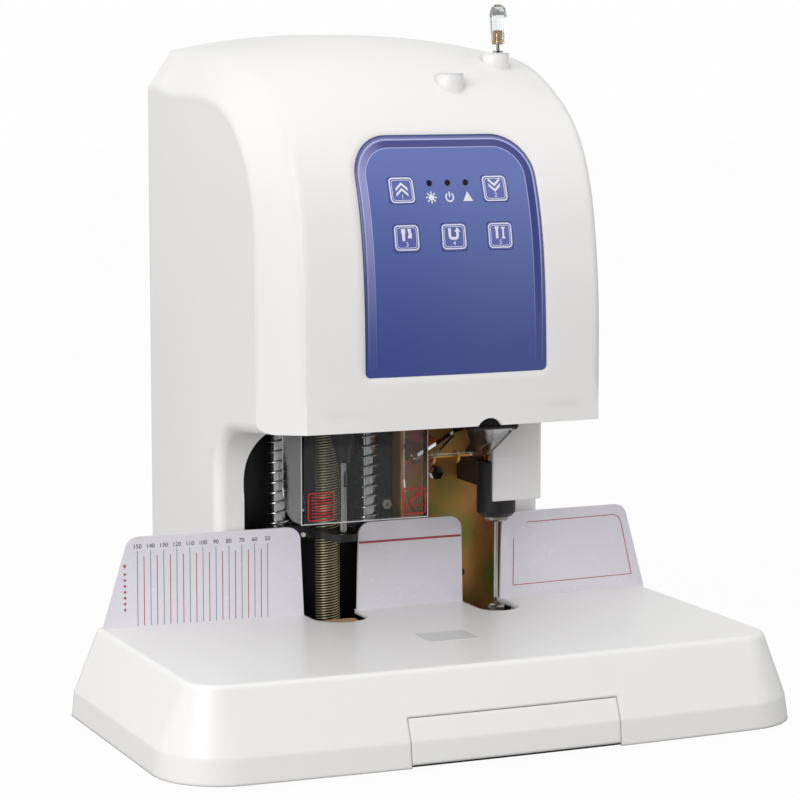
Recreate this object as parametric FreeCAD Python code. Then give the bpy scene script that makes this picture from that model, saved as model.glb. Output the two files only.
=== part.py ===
import FreeCAD
import Part

import os
from math import atan2, cos, degrees, pi, radians, sin, sqrt

# Desk document riveting machine. Millimetres, +Z up, operator's side at -Y.
# Origin: on the desk, in the middle of the footprint.

V = FreeCAD.Vector
X_AXIS = V(1, 0, 0)
Y_AXIS = V(0, 1, 0)
Z_AXIS = V(0, 0, 1)

# ---- work stations ----
drill_x = -44.4            # hollow drill axis
station_y = 6.0            # both work axes lie in this plane
station_pitch = 125.4      # drill axis to rivet axis
rivet_x = drill_x + station_pitch

# ---- base tray ----
foot_height = 4.0
foot_radius = 11.0
foot_inset_x = 38.7        # front feet from the side edges
foot_inset_y = 40.5
foot_inset_rear = 24.0
tray_top = 68.0            # height of the work table
tray_crease = 22.0         # top of the upright lower band
tray_foot_half = 243.7     # half width at the desk
tray_table_half = 222.6    # half width at the table
tray_band_draft = 2.0      # how far the lower band leans in
tray_foot_front = 190.5    # front edge at the corners, at the desk
tray_table_front = 169.5   # front edge at the corners, at the table
tray_bow = 4.5             # how far the middle of the front stands out
tray_rear = 46.0
tray_foot_corner = 50.0
tray_table_corner = 24.0
tray_wall = 3.5
tray_edge_round = 4.0
seat_gap = 0.3             # between fixed pieces that stand in one another
plate_thick = 2.0          # steel bottom plate
plate_inset = 0.6

# ---- scrap drawer ----
drawer_x = 4.5             # middle of the drawer
drawer_width = 160.0
drawer_height = 37.0
drawer_gap = 0.45
drawer_lift = 2.3          # floor of the drawer above the tray's lower edge
drawer_front_thick = 5.0
drawer_wall = 2.0
drawer_rear = -18.0
drawer_side_gap = 5.0      # box sides stand in from the front panel's ends
rail_thick = 2.0

# ---- column and head ----
body_half = 133.0          # half width of the flanks
crown_bevel = 19.0         # width of the bevel band between crown and flank
shoulder_half = body_half - crown_bevel
body_rear = 195.0
column_front = 37.5
column_round = 8.0         # upright front edges of the column
rear_step = 3.0            # depth of the recess round the rear sockets
skirt_top = 144.0
shell_wall = 4.0
body_corner = 9.0          # upright rear corners, seen from above
rear_top_round = 12.0
under_front = -103.0       # lower front lip of the head
under_height = 223.0
under_slope = 0.089        # the underside falls towards the column
under_fillet = 36.0        # column front into underside

# Side outlines of the head from the lip over the top, as (y, z): at the
# middle, at the edge of the crown and on the flank.
crown_line = [(-103.0, 223.0), (-102.3, 262.0), (-100.0, 312.0), (-95.0, 356.0), (-80.5, 402.0),
              (-54.0, 441.0), (-18.0, 471.0), (22.0, 489.5), (75.0, 499.0), (165.0, 501.0)]
shoulder_line = [(-98.0, 223.0), (-97.5, 262.0), (-96.5, 310.0), (-91.5, 353.0), (-79.5, 399.0),
                 (-56.0, 435.0), (-25.0, 457.0), (16.0, 475.5), (68.0, 485.0), (165.0, 489.0)]
flank_line = [(-48.0, 223.0), (-48.0, 262.0), (-48.0, 300.0), (-47.0, 342.0), (-42.0, 384.0),
              (-31.0, 407.0), (-13.0, 428.0), (14.0, 445.0), (62.0, 455.0), (165.0, 461.0)]

# ---- throat ----
pier_width = 22.0          # column each side of the throat
throat_half = body_half - pier_width
throat_narrowing = 14.0    # the corners curve in by this under the head
throat_half_top = throat_half - throat_narrowing
throat_curve_start = 160.0
throat_curve_end = 212.0
throat_bulge = 0.22
lip_thick = 4.0
slot_half = 21.6           # table cut-out at the drill
slot_centre_y = 15.0
die_slot_half = 15.9       # table cut-out at the rivet die
die_slot_centre_y = 3.0
notch_x = 24.8             # finger notch in the front lip
notch_radius = 10.9
notch_drop = 5.4           # centre of its arc below the lip's edge

# ---- inner frame ----
frame_lap = 6.0            # back plate reaches behind each pier
frame_half = throat_half + frame_lap
frame_y = 62.0             # front face of the back plate
frame_thick = 3.0
frame_top = 402.0
shelf_front = -46.0
zinc_left = 19.0
zinc_right = frame_half - 4.0
zinc_top = 300.0
zinc_thick = 2.0
bolt_x = 54.5
bolt_z = 165.0
bolt_across = 9.0
bolt_head = 4.5
washer_radius = 5.4
washer_thick = 1.2
nut_x = 13.0
nut_z = 143.0
nut_across = 7.0
nut_high = 4.0
nut_bore = 1.6
shelf_thick = 4.0
shelf_left = 96.0
shelf_right = 104.0
shelf_round = 10.0
toe_depth = 30.0
zinc_flange = 14.0         # folded edge of the yellow plate
zinc_flange_low = 60.0     # above the plate's foot
zinc_hole_x = -4.6         # from the rivet axis
zinc_hole_z = 85.0
zinc_hole_radius = 3.2

# ---- guide columns, springs and lead screw ----
column_y = 47.0
column_pitch = 72.0
column_radius = 6.5
column_fit = 0.08
screw_y = 38.0
screw_radius = 9.5
screw_clear = 0.5
spring_radius = 9.2        # middle of the wire
spring_wire = 0.8
spring_pitch = 8.0
spring_chords = 10         # straight chords per turn

# ---- drill carriage ----
carriage_low = 236.0
carriage_thick = 16.0
carriage_front = -18.0
carriage_margin = 15.0     # block ends beyond the column axes
carriage_nose_gap = 2.0    # nose of the block inside the clear hood
carriage_shoulder = 12.0   # the block is full width behind this
motor_radius = 20.0
motor_height = 82.0
gearbox_half = 24.0
gearbox_front = 10.0
gearbox_rear = 62.0
gearbox_round = 4.0
gearbox_high = 26.0
spindle_radius = 18.0
spindle_high = 68.0        # gearbox and motor above the shelf
chuck_low = 186.0
chuck_tip_radius = 5.0
chuck_radius = 13.0
chuck_cone_top = 222.0
drill_tip = 133.6          # just above the press foot
drill_radius = 2.5
drill_wall = 0.5
spin_gap = 0.3

# ---- press foot ----
press_low = 125.0
press_top = 134.5
press_bar_front = 38.0     # the bar runs inside the column, behind the table's edge
press_toe_half = 13.7      # the toe passes between the table guards
press_toe_shoulder = 15.0  # from here the toe narrows to its nose
press_toe_front = -4.0
press_nose_half = 6.5
press_toe_low = 127.5
press_toe_top = 133.0
press_hole = 5.0
press_fit = 0.08
press_screw_offset = 19.8
press_screw_z = 127.9
press_screw_radius = 1.7

# ---- drill pad ----
pad_side = 31.0
pad_top = 64.2             # just under the table sheet
pad_thick = 6.0

# ---- rivet head ----
rivet_low = 138.0          # underside of the black block
rivet_block_high = 42.0
rivet_high = rivet_low + rivet_block_high
rivet_block_radius = 14.8
rivet_block_chamfer = 3.0
rivet_arm_half = 10.0
rivet_arm_deep = 20.0
rivet_arm_back = 56.0
die_radius = 9.3
die_drop = 3.6
piston_radius = 9.5
piston_top = 400.0
needle_clear = 0.35

# ---- cover in front of the hot rivet head ----
head_cover_left = 69.6
head_cover_right = throat_half - seat_gap
head_cover_low = 152.0
head_cover_wall = 2.5
head_cover_gap = 1.8       # wall to the front of the block
head_cover_round = 4.0

# ---- lower bed and die ----
bed_low = 40.0
bed_high = 52.0
bed_floor = 4.0            # left under the columns and the lead screw
bed_reach = 51.6           # left end from the drill axis
bed_side_gap = 3.0
bed_drawer_gap = 8.0
bed_leg = 12.0
pad_seat_half = 20.0
pad_seat_rear = 28.0
die_socket_wall = 4.0
lower_die_radius = 11.5
lower_die_shoulder = 61.0
lower_die_nose = 6.8       # narrow end that stands in the table cut-out
lower_die_top = 69.0
lower_die_low = 34.0
lower_die_cup = 4.8

# ---- needle ----
needle_radius = 1.6
needle_thin = 1.3
needle_tip = 70.0
needle_step = 440.0
boss_height = 8.7          # above the crown at its own place
boss_root = 36.0           # how far it reaches down into the shell
boss_radius = 10.0
boss_y = 10.0
label_boss_x = 27.6
label_boss_y = -25.0
label_boss_height = 7.3
label_boss_radius = 10.0
knob_gap = 6.0             # above the needle boss
knob_collar = 4.0
knob_socket = 8.0          # how deep the needle goes into the knob
knob_neck = 3.2
knob_radius = 7.2
knob_height = 30.0

# ---- table guards ----
guard_thick = 2.0
guard_y = 31.7             # front plane of the middle and right guards
guard_height = 67.0
guard_round = 10.0
ruler_length = 155.0
ruler_slant = 20.0
ruler_angle = 3.0
notice_length = 126.0
notice_slant = 18.5

# ---- clear covers ----
cover_thick = 2.5
hood_side_gap = 3.1        # left wall inside the throat's narrowed side
hood_reach = 49.5          # right wall from the drill axis
hood_left = hood_side_gap - throat_half_top
hood_right = drill_x + hood_reach
hood_front = -36.0
hood_low = 148.5
hood_top = 230.0
hood_depth = 39.0
hood_round = 24.0
hood_pin_y = -31.0
hood_pin_z = 224.6
hood_pin_radius = 2.0
pin_radius = 1.5
pin_fit = 0.06
flap_left = 11.0
flap_width = 48.0
flap_length = 82.0
flap_tilt = 22.0
flap_pin_y = 1.0
flap_pin_z = 187.0
flap_skirt = 8.0
flap_ear = 6.0             # round end of the bracket's arms
flap_arm_inset = 13.0      # arms stand in from the flap's sides
flap_arm_thick = 2.0

# ---- control panel ----
panel_half_low = 70.5
panel_half_high = 70.0
panel_low = 261.0
panel_high = 429.0
panel_round_high = 30.0
panel_round_low = 4.0
panel_recess = 1.0
panel_thick = 1.2
panel_gap = 0.3
key_side = 19.6
key_round = 3.0
key_gap = 0.35
key_proud = 0.3
key_depth = 6.0
key_travel = 0.5
key_step_high = 36.4       # outer keys from the middle
key_step_low = 36.3
key_row_high = 391.0
key_row_low = 358.0
key_lean_high = 19.0       # lean of the face at each row, degrees
key_lean_low = 14.5
board_thick = 1.6
led_radius = 2.2
led_step = 14.1
led_z = 395.5

# ---- rear ----
cover_half = 92.0
cover_low = 160.0
cover_high = 430.0
cover_inset = 2.5
vent_length = 60.0
vent_width = 3.0
vent_count = 12
vent_pitch = 8.0
inlet_x = -78.0
inlet_z = 70.0
inlet_width = 48.0
inlet_height = 28.0
socket_pad_side = 32.0     # past the inlet's and the fuse's middle
socket_pad_half = 22.0
switch_x = -20.0
switch_width = 19.2
switch_height = 12.9
switch_wall = 1.2
rocker_side_gap = 1.9      # room for its ends to swing
rocker_end_gap = 0.4
rocker_pin_back = 0.8      # pivot behind the wall's face
rocker_pin_radius = 0.8
rocker_pin_reach = 0.9
fuse_x = 26.0
fuse_radius = 6.5
fuse_depth = 25.0


# ---------- helpers ----------

def box(x0, x1, y0, y1, z0, z1):
    return Part.makeBox(x1 - x0, y1 - y0, z1 - z0, V(x0, y0, z0))


def rod(x, y, z0, z1, radius):
    return Part.makeCylinder(radius, z1 - z0, V(x, y, z0), Z_AXIS)


def bar_x(x0, x1, y, z, radius):
    return Part.makeCylinder(radius, x1 - x0, V(x0, y, z), X_AXIS)


def bar_y(x, y0, y1, z, radius):
    return Part.makeCylinder(radius, y1 - y0, V(x, y0, z), Y_AXIS)


def tube(x, y, z0, z1, outer, inner):
    return rod(x, y, z0, z1, outer).cut(rod(x, y, z0 - 1, z1 + 1, inner))


def corner_points(before, corner, after, radius):
    """Start, middle and end of the arc that rounds a corner."""
    back = (before - corner).normalize()
    ahead = (after - corner).normalize()
    half = back.getAngle(ahead) / 2
    reach = radius * cos(half) / sin(half)
    middle = (back + ahead).normalize()
    centre = corner + middle * (radius / sin(half))
    return corner + back * reach, centre - middle * radius, corner + ahead * reach


def rounded_wire(points, radii):
    """Closed wire through points, each corner rounded by its own radius."""
    count = len(points)
    arcs = []
    for i, corner in enumerate(points):
        if radii[i] > 0:
            arcs.append(corner_points(points[i - 1], corner, points[(i + 1) % count], radii[i]))
        else:
            arcs.append((corner, corner, corner))
    edges = []
    for i in range(count):
        start, middle, end = arcs[i]
        if radii[i] > 0:
            edges.append(Part.Arc(start, middle, end).toShape())
        following = arcs[(i + 1) % count][0]
        if (following - end).Length > 1e-6:
            edges.append(Part.LineSegment(end, following).toShape())
    return Part.Wire(edges)


def prism(points, radii, direction):
    return Part.Face(rounded_wire(points, radii)).extrude(direction)


def plate_xz(outline, radii, y0, y1):
    points = [V(x, y0, z) for x, z in outline]
    return prism(points, radii, V(0, y1 - y0, 0))


def plate_xy(outline, radii, z0, z1):
    points = [V(x, y, z0) for x, y in outline]
    return prism(points, radii, V(0, 0, z1 - z0))


def plate_yz(outline, radii, x0, x1):
    points = [V(x0, y, z) for y, z in outline]
    return prism(points, radii, V(x1 - x0, 0, 0))


def rectangle(x0, x1, y0, y1):
    return [(x0, y0), (x1, y0), (x1, y1), (x0, y1)]


def u_slot(x, half, centre_y, rear_y, z0, z1):
    """Upright slot with a half-round front end."""
    return rod(x, centre_y, z0, z1, half).fuse(box(x - half, x + half, centre_y, rear_y, z0, z1))


def hexagon(x, z, across, y0, y1):
    reach = across / 2 / cos(pi / 6)
    points = [(x + reach * cos(k * pi / 3), z + reach * sin(k * pi / 3)) for k in range(6)]
    return plate_xz(points, [0] * 6, y0, y1)


# ---------- base ----------

def tray_outline(half, front, corner, rear, z):
    """Plan outline of the base: bowed front, round front corners, square rear."""
    top = V(half, rear, z)
    right = V(half, -front + corner, z)
    diagonal = corner * (1 - sqrt(0.5))
    right_mid = V(half - diagonal, -front + diagonal, z)
    right_end = V(half - corner, -front, z)
    left_end = V(-half + corner, -front, z)
    left_mid = V(-half + diagonal, -front + diagonal, z)
    left = V(-half, -front + corner, z)
    bottom = V(-half, rear, z)
    middle = V(0, -front - tray_bow, z)
    return Part.Wire([
        Part.LineSegment(top, right).toShape(),
        Part.Arc(right, right_mid, right_end).toShape(),
        Part.Arc(right_end, middle, left_end).toShape(),
        Part.Arc(left_end, left_mid, left).toShape(),
        Part.LineSegment(left, bottom).toShape(),
        Part.LineSegment(bottom, top).toShape()])


def tray_solid(inset, z_low, z_high):
    """Base body between two heights, drawn in by inset all round."""
    low = tray_outline(tray_foot_half - inset, tray_foot_front - inset,
                       tray_foot_corner - inset, tray_rear - inset, z_low)
    crease = tray_outline(tray_foot_half - tray_band_draft - inset,
                          tray_foot_front - tray_band_draft - inset,
                          tray_foot_corner - inset, tray_rear - inset, tray_crease)
    table = tray_outline(tray_table_half - inset, tray_table_front - inset,
                         tray_table_corner - min(inset, tray_table_corner / 2), tray_rear - inset, z_high)
    return Part.makeLoft([low, crease, table], True, True)


def skirt_block(clearance, z0, z1):
    half = body_half + clearance
    outline = rectangle(-half, half, column_front - clearance, body_rear + clearance)
    front = column_round + clearance
    rear = body_corner + clearance
    return plate_xy(outline, [front, front, rear, rear], z0, z1)


def base_tray():
    outer = tray_solid(0, foot_height, tray_top)
    rim = [e for e in outer.Edges if e.BoundBox.ZMin > tray_top - 0.01]
    rim = [e for e in rim if e.BoundBox.YMin < tray_rear - 0.1]
    outer = outer.makeFillet(tray_edge_round, rim)
    inner = tray_solid(tray_wall, foot_height - 1, tray_top - tray_wall)
    shell = outer.cut(inner)
    shell = shell.cut(skirt_block(seat_gap, 0, tray_top + 10))
    half = drawer_width / 2 + drawer_gap
    mouth = box(drawer_x - half, drawer_x + half, -tray_foot_front - 20,
                -tray_table_front + tray_wall + 20, 0, drawer_height + drawer_gap)
    shell = shell.cut(mouth)
    shell = shell.cut(u_slot(drill_x, slot_half, slot_centre_y, column_front + 20, tray_top - 20, tray_top + 5))
    shell = shell.cut(u_slot(rivet_x, die_slot_half, die_slot_centre_y, column_front + 20,
                             tray_top - 20, tray_top + 5))
    return shell


def base_plate():
    gap = tray_wall + plate_inset
    outline = tray_outline(tray_foot_half - gap, tray_foot_front - gap,
                           tray_foot_corner - gap, tray_rear - gap, foot_height)
    plate = Part.Face(outline).extrude(V(0, 0, plate_thick))
    half = body_half - shell_wall - seat_gap
    rear = box(-half, half, 0, body_rear - shell_wall - seat_gap, foot_height, foot_height + plate_thick)
    rear = rear.cut(socket_pad(seat_gap))
    keep = skirt_block(seat_gap, 0, tray_top).cut(rear)
    plate = plate.fuse(rear).cut(keep)
    for x0, x1 in ((-body_half, -throat_half + seat_gap), (throat_half - seat_gap, body_half)):
        plate = plate.cut(box(x0, x1, column_front - seat_gap, column_front + shell_wall + seat_gap, 0, tray_top))
    return plate.removeSplitter()


def feet():
    front_x = tray_foot_half - foot_inset_x
    front_y = -tray_foot_front + foot_inset_y
    rear_x = body_half - foot_inset_rear
    rear_y = body_rear - foot_inset_rear
    spots = {"foot_front_left": (-front_x, front_y), "foot_front_right": (front_x, front_y),
             "foot_rear_left": (-rear_x, rear_y), "foot_rear_right": (rear_x, rear_y)}
    made = {}
    for name, (x, y) in spots.items():
        made[name] = Part.makeCone(foot_radius - 1, foot_radius, foot_height, V(x, y, 0), Z_AXIS)
    return made


def scrap_drawer():
    half = drawer_width / 2
    low = foot_height + drawer_lift
    window = box(drawer_x - half, drawer_x + half, -tray_foot_front - 20, 0, low, drawer_height)
    skin = tray_solid(0, foot_height, tray_top)
    front = skin.common(window).cut(tray_solid(drawer_front_thick, foot_height - 1, tray_top - tray_wall))
    side = half - drawer_side_gap
    outer = box(drawer_x - side, drawer_x + side, -tray_foot_front + 4, drawer_rear, low + 1, drawer_height - 3)
    inner = box(drawer_x - side + drawer_wall, drawer_x + side - drawer_wall,
                -tray_foot_front + 8, drawer_rear - drawer_wall, low + 1 + drawer_wall, drawer_height + 5)
    return front.fuse(outer.common(skin)).cut(inner).removeSplitter()


def drawer_rails():
    """Two channels on the bottom plate that guide the drawer's sides."""
    side = drawer_width / 2 - drawer_side_gap + 0.4
    low = foot_height + plate_thick
    made = None
    for sign in (-1, 1):
        inner_x = drawer_x + sign * side
        outer_x = inner_x + sign * rail_thick
        rail = box(min(inner_x, outer_x), max(inner_x, outer_x),
                   -tray_table_front + 6, drawer_rear + 4, low, 20.0)
        made = rail if made is None else made.fuse(rail)
    stop = box(drawer_x - side - rail_thick, drawer_x + side + rail_thick,
               drawer_rear + 2, drawer_rear + 4, low, 20.0)
    return made.fuse(stop).removeSplitter()


def socket_pad(clearance):
    """Thicker stretch of the rear wall, behind the recess for the sockets."""
    return box(inlet_x - socket_pad_side - clearance, fuse_x + socket_pad_side + clearance,
               body_rear - rear_step - shell_wall - clearance, body_rear,
               inlet_z - socket_pad_half - clearance, inlet_z + socket_pad_half + clearance)


def column_skirt():
    block = skirt_block(0, foot_height, skirt_top)
    half = body_half - shell_wall
    hollow = box(-half, half, column_front + shell_wall, body_rear - shell_wall, foot_height - 1, skirt_top + 1)
    shell = block.cut(hollow.cut(socket_pad(0)))
    throat = box(-throat_half, throat_half, column_front - 5, column_front + shell_wall + 1,
                 foot_height - 1, skirt_top + 1)
    shell = shell.cut(throat)
    recess = plate_xz(rectangle(inlet_x - socket_pad_side + 4, fuse_x + socket_pad_side - 4,
                                inlet_z - socket_pad_half + 4, inlet_z + socket_pad_half - 4),
                      [3.0] * 4, body_rear - rear_step, body_rear + 1)
    for tool in [recess] + rear_cutouts():
        shell = shell.cut(tool)
    return shell


# ---------- head ----------

def under_z(y):
    return under_height - under_slope * (y - under_front)


def section(x, outline, inset, open_low):
    """Closed side outline of column and head at one x."""
    rear = body_rear - inset
    low = skirt_top - (10 if open_low else 0)
    front = column_front + inset
    slope = sqrt(1 + under_slope ** 2)
    radius = under_fillet - inset
    centre_y = front - radius
    lift = inset * slope
    centre_z = under_z(centre_y) + lift - radius * slope
    tangent = V(x, centre_y + radius * under_slope / slope, centre_z + radius / slope)
    middle_angle = pi / 4
    middle = V(x, centre_y + radius * sin(middle_angle), centre_z + radius * cos(middle_angle))
    line = inset_line(outline, inset)
    line[0] = (line[0][0], under_z(line[0][0]) + lift)
    points = [V(x, y, z) for y, z in line]
    curve = Part.BSplineCurve()
    curve.interpolate(points)
    top = points[-1]
    round_top = rear_top_round - inset
    corner_low = V(x, rear, top.z - round_top)
    corner_mid = V(x, rear - round_top * (1 - sqrt(0.5)), top.z - round_top * (1 - sqrt(0.5)))
    corner_high = V(x, rear - round_top, top.z)
    edges = [curve.toShape(),
             Part.LineSegment(top, corner_high).toShape(),
             Part.Arc(corner_high, corner_mid, corner_low).toShape(),
             Part.LineSegment(corner_low, V(x, rear, low)).toShape(),
             Part.LineSegment(V(x, rear, low), V(x, front, low)).toShape(),
             Part.LineSegment(V(x, front, low), V(x, front, centre_z)).toShape(),
             Part.Arc(V(x, front, centre_z), middle, tangent).toShape(),
             Part.LineSegment(tangent, points[0]).toShape()]
    return Part.Wire(edges)


def inset_line(outline, inset):
    """The outline moved inwards, square to its own direction at each point."""
    moved = []
    last = len(outline) - 1
    for i, (y, z) in enumerate(outline):
        y0, z0 = outline[max(i - 1, 0)]
        y1, z1 = outline[min(i + 1, last)]
        run = sqrt((y1 - y0) ** 2 + (z1 - z0) ** 2)
        moved.append((y + inset * (z1 - z0) / run, z - inset * (y1 - y0) / run))
    end_y, end_z = outline[last]
    moved[last] = (end_y - 2 * inset, end_z - inset)
    return moved


def blend(share):
    """Side outline between the middle (0) and the edge of the crown (1)."""
    return [(cy + (sy - cy) * share, cz + (sz - cz) * share)
            for (cy, cz), (sy, sz) in zip(crown_line, shoulder_line)]


def body_solid(inset, open_low):
    edge = shoulder_half - inset * 0.4
    flank = body_half - inset
    steps = [-1.0, -0.5, 0.0, 0.5, 1.0]
    core = Part.makeLoft([section(edge * s, blend(s * s), inset, open_low) for s in steps], True, False)
    right = Part.makeLoft([section(edge, shoulder_line, inset, open_low),
                           section(flank, flank_line, inset, open_low)], True, True)
    left = right.mirror(V(0, 0, 0), X_AXIS)
    whole = core.fuse([right, left])
    half = flank
    low = skirt_top - 20
    high = crown_line[-1][1] + 60
    outline = rectangle(-half, half, under_front - 20, body_rear - inset)
    keep = plate_xy(outline, [0, 0, body_corner - inset / 2, body_corner - inset / 2], low, high)
    return whole.common(keep).removeSplitter()


def throat_tool():
    """Front-view opening of the throat, as deep as lip to column wall."""
    low = skirt_top - 20
    high = under_height + 12
    outline = [V(-throat_half, 0, low), V(throat_half, 0, low), V(throat_half, 0, throat_curve_start),
               V(throat_half_top, 0, throat_curve_end), V(throat_half_top, 0, high),
               V(-throat_half_top, 0, high), V(-throat_half_top, 0, throat_curve_end),
               V(-throat_half, 0, throat_curve_start)]
    bulge_x = throat_half - (throat_half - throat_half_top) * throat_bulge
    bulge_z = throat_curve_start + (throat_curve_end - throat_curve_start) * 0.6
    edges = [Part.LineSegment(outline[0], outline[1]).toShape(),
             Part.LineSegment(outline[1], outline[2]).toShape(),
             Part.Arc(outline[2], V(bulge_x, 0, bulge_z), outline[3]).toShape(),
             Part.LineSegment(outline[3], outline[4]).toShape(),
             Part.LineSegment(outline[4], outline[5]).toShape(),
             Part.LineSegment(outline[5], outline[6]).toShape(),
             Part.Arc(outline[6], V(-bulge_x, 0, bulge_z), outline[7]).toShape(),
             Part.LineSegment(outline[7], outline[0]).toShape()]
    face = Part.Face(Part.Wire(edges))
    face.translate(V(0, under_front + lip_thick, 0))
    return face.extrude(V(0, column_front + shell_wall + 2 - under_front - lip_thick, 0))


def panel_outline(clearance):
    low = panel_low - clearance
    high = panel_high + clearance
    a = panel_half_low + clearance
    b = panel_half_high + clearance
    return [(-a, low), (a, low), (b, high), (-b, high)]


def panel_prism(clearance):
    radii = [panel_round_low, panel_round_low, panel_round_high, panel_round_high]
    return plate_xz(panel_outline(clearance), radii, under_front - 10, 0)


def key_places():
    return {"key_raise": (-key_step_high, key_row_high, key_lean_high),
            "key_lower": (key_step_high, key_row_high, key_lean_high),
            "key_drill": (-key_step_low, key_row_low, key_lean_low),
            "key_reset": (0.0, key_row_low, key_lean_low),
            "key_rivet": (key_step_low, key_row_low, key_lean_low)}


def front_y(z, x):
    """Front face of the head at a height, between the outline's points."""
    share = (x / shoulder_half) ** 2
    line = blend(share)
    for (y0, z0), (y1, z1) in zip(line, line[1:]):
        if z0 <= z <= z1:
            return y0 + (y1 - y0) * (z - z0) / (z1 - z0)
    return line[0][0]


def top_z(x, y):
    """Height of the crown at a place, between the outline's points."""
    line = blend((x / shoulder_half) ** 2)
    for (y0, z0), (y1, z1) in zip(line, line[1:]):
        if y0 <= y <= y1:
            return z0 + (z1 - z0) * (y - y0) / (y1 - y0)
    return line[-1][1]


def boss_top():
    return top_z(rivet_x, boss_y) + boss_height


def knob_low():
    return boss_top() + knob_gap


def key_prism(x, z, lean, side, depth_out, depth_in):
    """Square post along the face's own normal at (x, z)."""
    half = side / 2
    y = front_y(z, x)
    points = [V(-half, -depth_out, -half), V(half, -depth_out, -half), V(half, -depth_out, half),
              V(-half, -depth_out, half)]
    post = prism(points, [key_round] * 4, V(0, depth_out + depth_in, 0))
    post.rotate(V(0, 0, 0), X_AXIS, -lean)
    post.translate(V(x, y, z))
    return post


def column_edges(body):
    """Upright front edges of the column, up to where they turn under the head."""
    found = []
    for edge in body.Edges:
        b = edge.BoundBox
        upright = b.ZMin < skirt_top + 1 and b.ZMax > skirt_top + 5
        if upright and b.YMax < column_front + 0.1 and b.YMin > column_front - 0.1 and b.XLength < 0.1:
            found.append(edge)
    return found


def housing(outer, inner):
    shell = outer.makeFillet(column_round, column_edges(outer)).cut(inner)
    shell = shell.cut(throat_tool())
    pocket_floor = outer.copy()
    pocket_floor.translate(V(0, panel_recess + panel_thick, 0))
    shell = shell.cut(panel_prism(panel_gap).cut(pocket_floor))
    for x, z, lean in key_places().values():
        shell = shell.cut(key_prism(x, z, lean, key_side + 2 * key_gap, 6, 12))
    for x in (-led_step, 0, led_step):
        shell = shell.cut(bar_y(x, under_front - 5, 0, led_z, led_radius + 0.2))
    boss = rod(rivet_x, boss_y, boss_top() - boss_height - boss_root, boss_top(), boss_radius)
    tag_high = top_z(label_boss_x, label_boss_y) + label_boss_height
    tag_boss = rod(label_boss_x, label_boss_y, tag_high - label_boss_height - boss_root, tag_high,
                   label_boss_radius)
    shell = shell.fuse([boss.cut(inner), tag_boss.cut(inner)])
    shell = shell.cut(rod(rivet_x, station_y, boss_top() - boss_height - boss_root - 5, boss_top() + 5,
                          needle_radius + needle_clear))
    shell = shell.cut(bar_y(notch_x, under_front - 5, under_front + lip_thick + 6,
                            under_z(under_front) - notch_drop, notch_radius))
    shell = shell.cut(plate_xz(rectangle(-cover_half - 0.3, cover_half + 0.3, cover_low - 0.3, cover_high + 0.3),
                               [8.3] * 4, body_rear - cover_inset, body_rear + 5))
    shell = shell.cut(plate_xz(rectangle(-cover_half + 8, cover_half - 8, cover_low + 8, cover_high - 8),
                               [6.0] * 4, body_rear - shell_wall - 5, body_rear + 5))
    return shell


def control_panel(outer):
    front = outer.copy()
    front.translate(V(0, panel_recess, 0))
    back = outer.copy()
    back.translate(V(0, panel_recess + panel_thick, 0))
    sheet = panel_prism(0).common(front).cut(back)
    for x, z, lean in key_places().values():
        sheet = sheet.cut(key_prism(x, z, lean, key_side + 2 * key_gap, 6, 12))
    for x in (-led_step, 0, led_step):
        sheet = sheet.cut(bar_y(x, under_front - 5, 0, led_z, led_radius + 0.1))
    return sheet


def panel_parts(outer):
    made = {}
    skin = outer.copy()
    skin.translate(V(0, panel_recess - key_proud, 0))
    for name, (x, z, lean) in key_places().items():
        made[name] = key_prism(x, z, lean, key_side, 6, key_depth).common(skin)
    for name, x in (("led_preheat", -led_step), ("led_power", 0), ("led_alarm", led_step)):
        y = front_y(led_z, x)
        lamp = bar_y(x, y + 1.2, y + 9.0, led_z, led_radius - 0.1)
        made[name] = lamp.fuse(bar_y(x, y + shell_wall + 4.2, y + 9.0, led_z, led_radius + 1.0))
    return made


def rear_cover():
    plate = plate_xz(rectangle(-cover_half, cover_half, cover_low, cover_high), [8.0] * 4,
                     body_rear - cover_inset, body_rear)
    for side in (-1, 1):
        for k in range(vent_count):
            z = cover_high - 40 - k * vent_pitch
            x = side * (vent_length / 2 + 8)
            slot = box(x - vent_length / 2, x + vent_length / 2, body_rear - cover_inset - 1, body_rear + 1,
                       z - vent_width / 2, z + vent_width / 2)
            plate = plate.cut(slot)
    return plate


def rear_cutouts():
    y0 = body_rear - rear_step - shell_wall - 1
    y1 = body_rear + 1
    inlet = plate_xz(rectangle(inlet_x - 14, inlet_x + 14, inlet_z - 10.2, inlet_z + 10.2), [2.0] * 4, y0, y1)
    power = box(switch_x - switch_width / 2 - 0.2, switch_x + switch_width / 2 + 0.2, y0, y1,
                inlet_z - switch_height / 2 - 0.2, inlet_z + switch_height / 2 + 0.2)
    fuse = bar_y(fuse_x, y0, y1, inlet_z, fuse_radius + 0.2)
    return [inlet, power, fuse]


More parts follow.
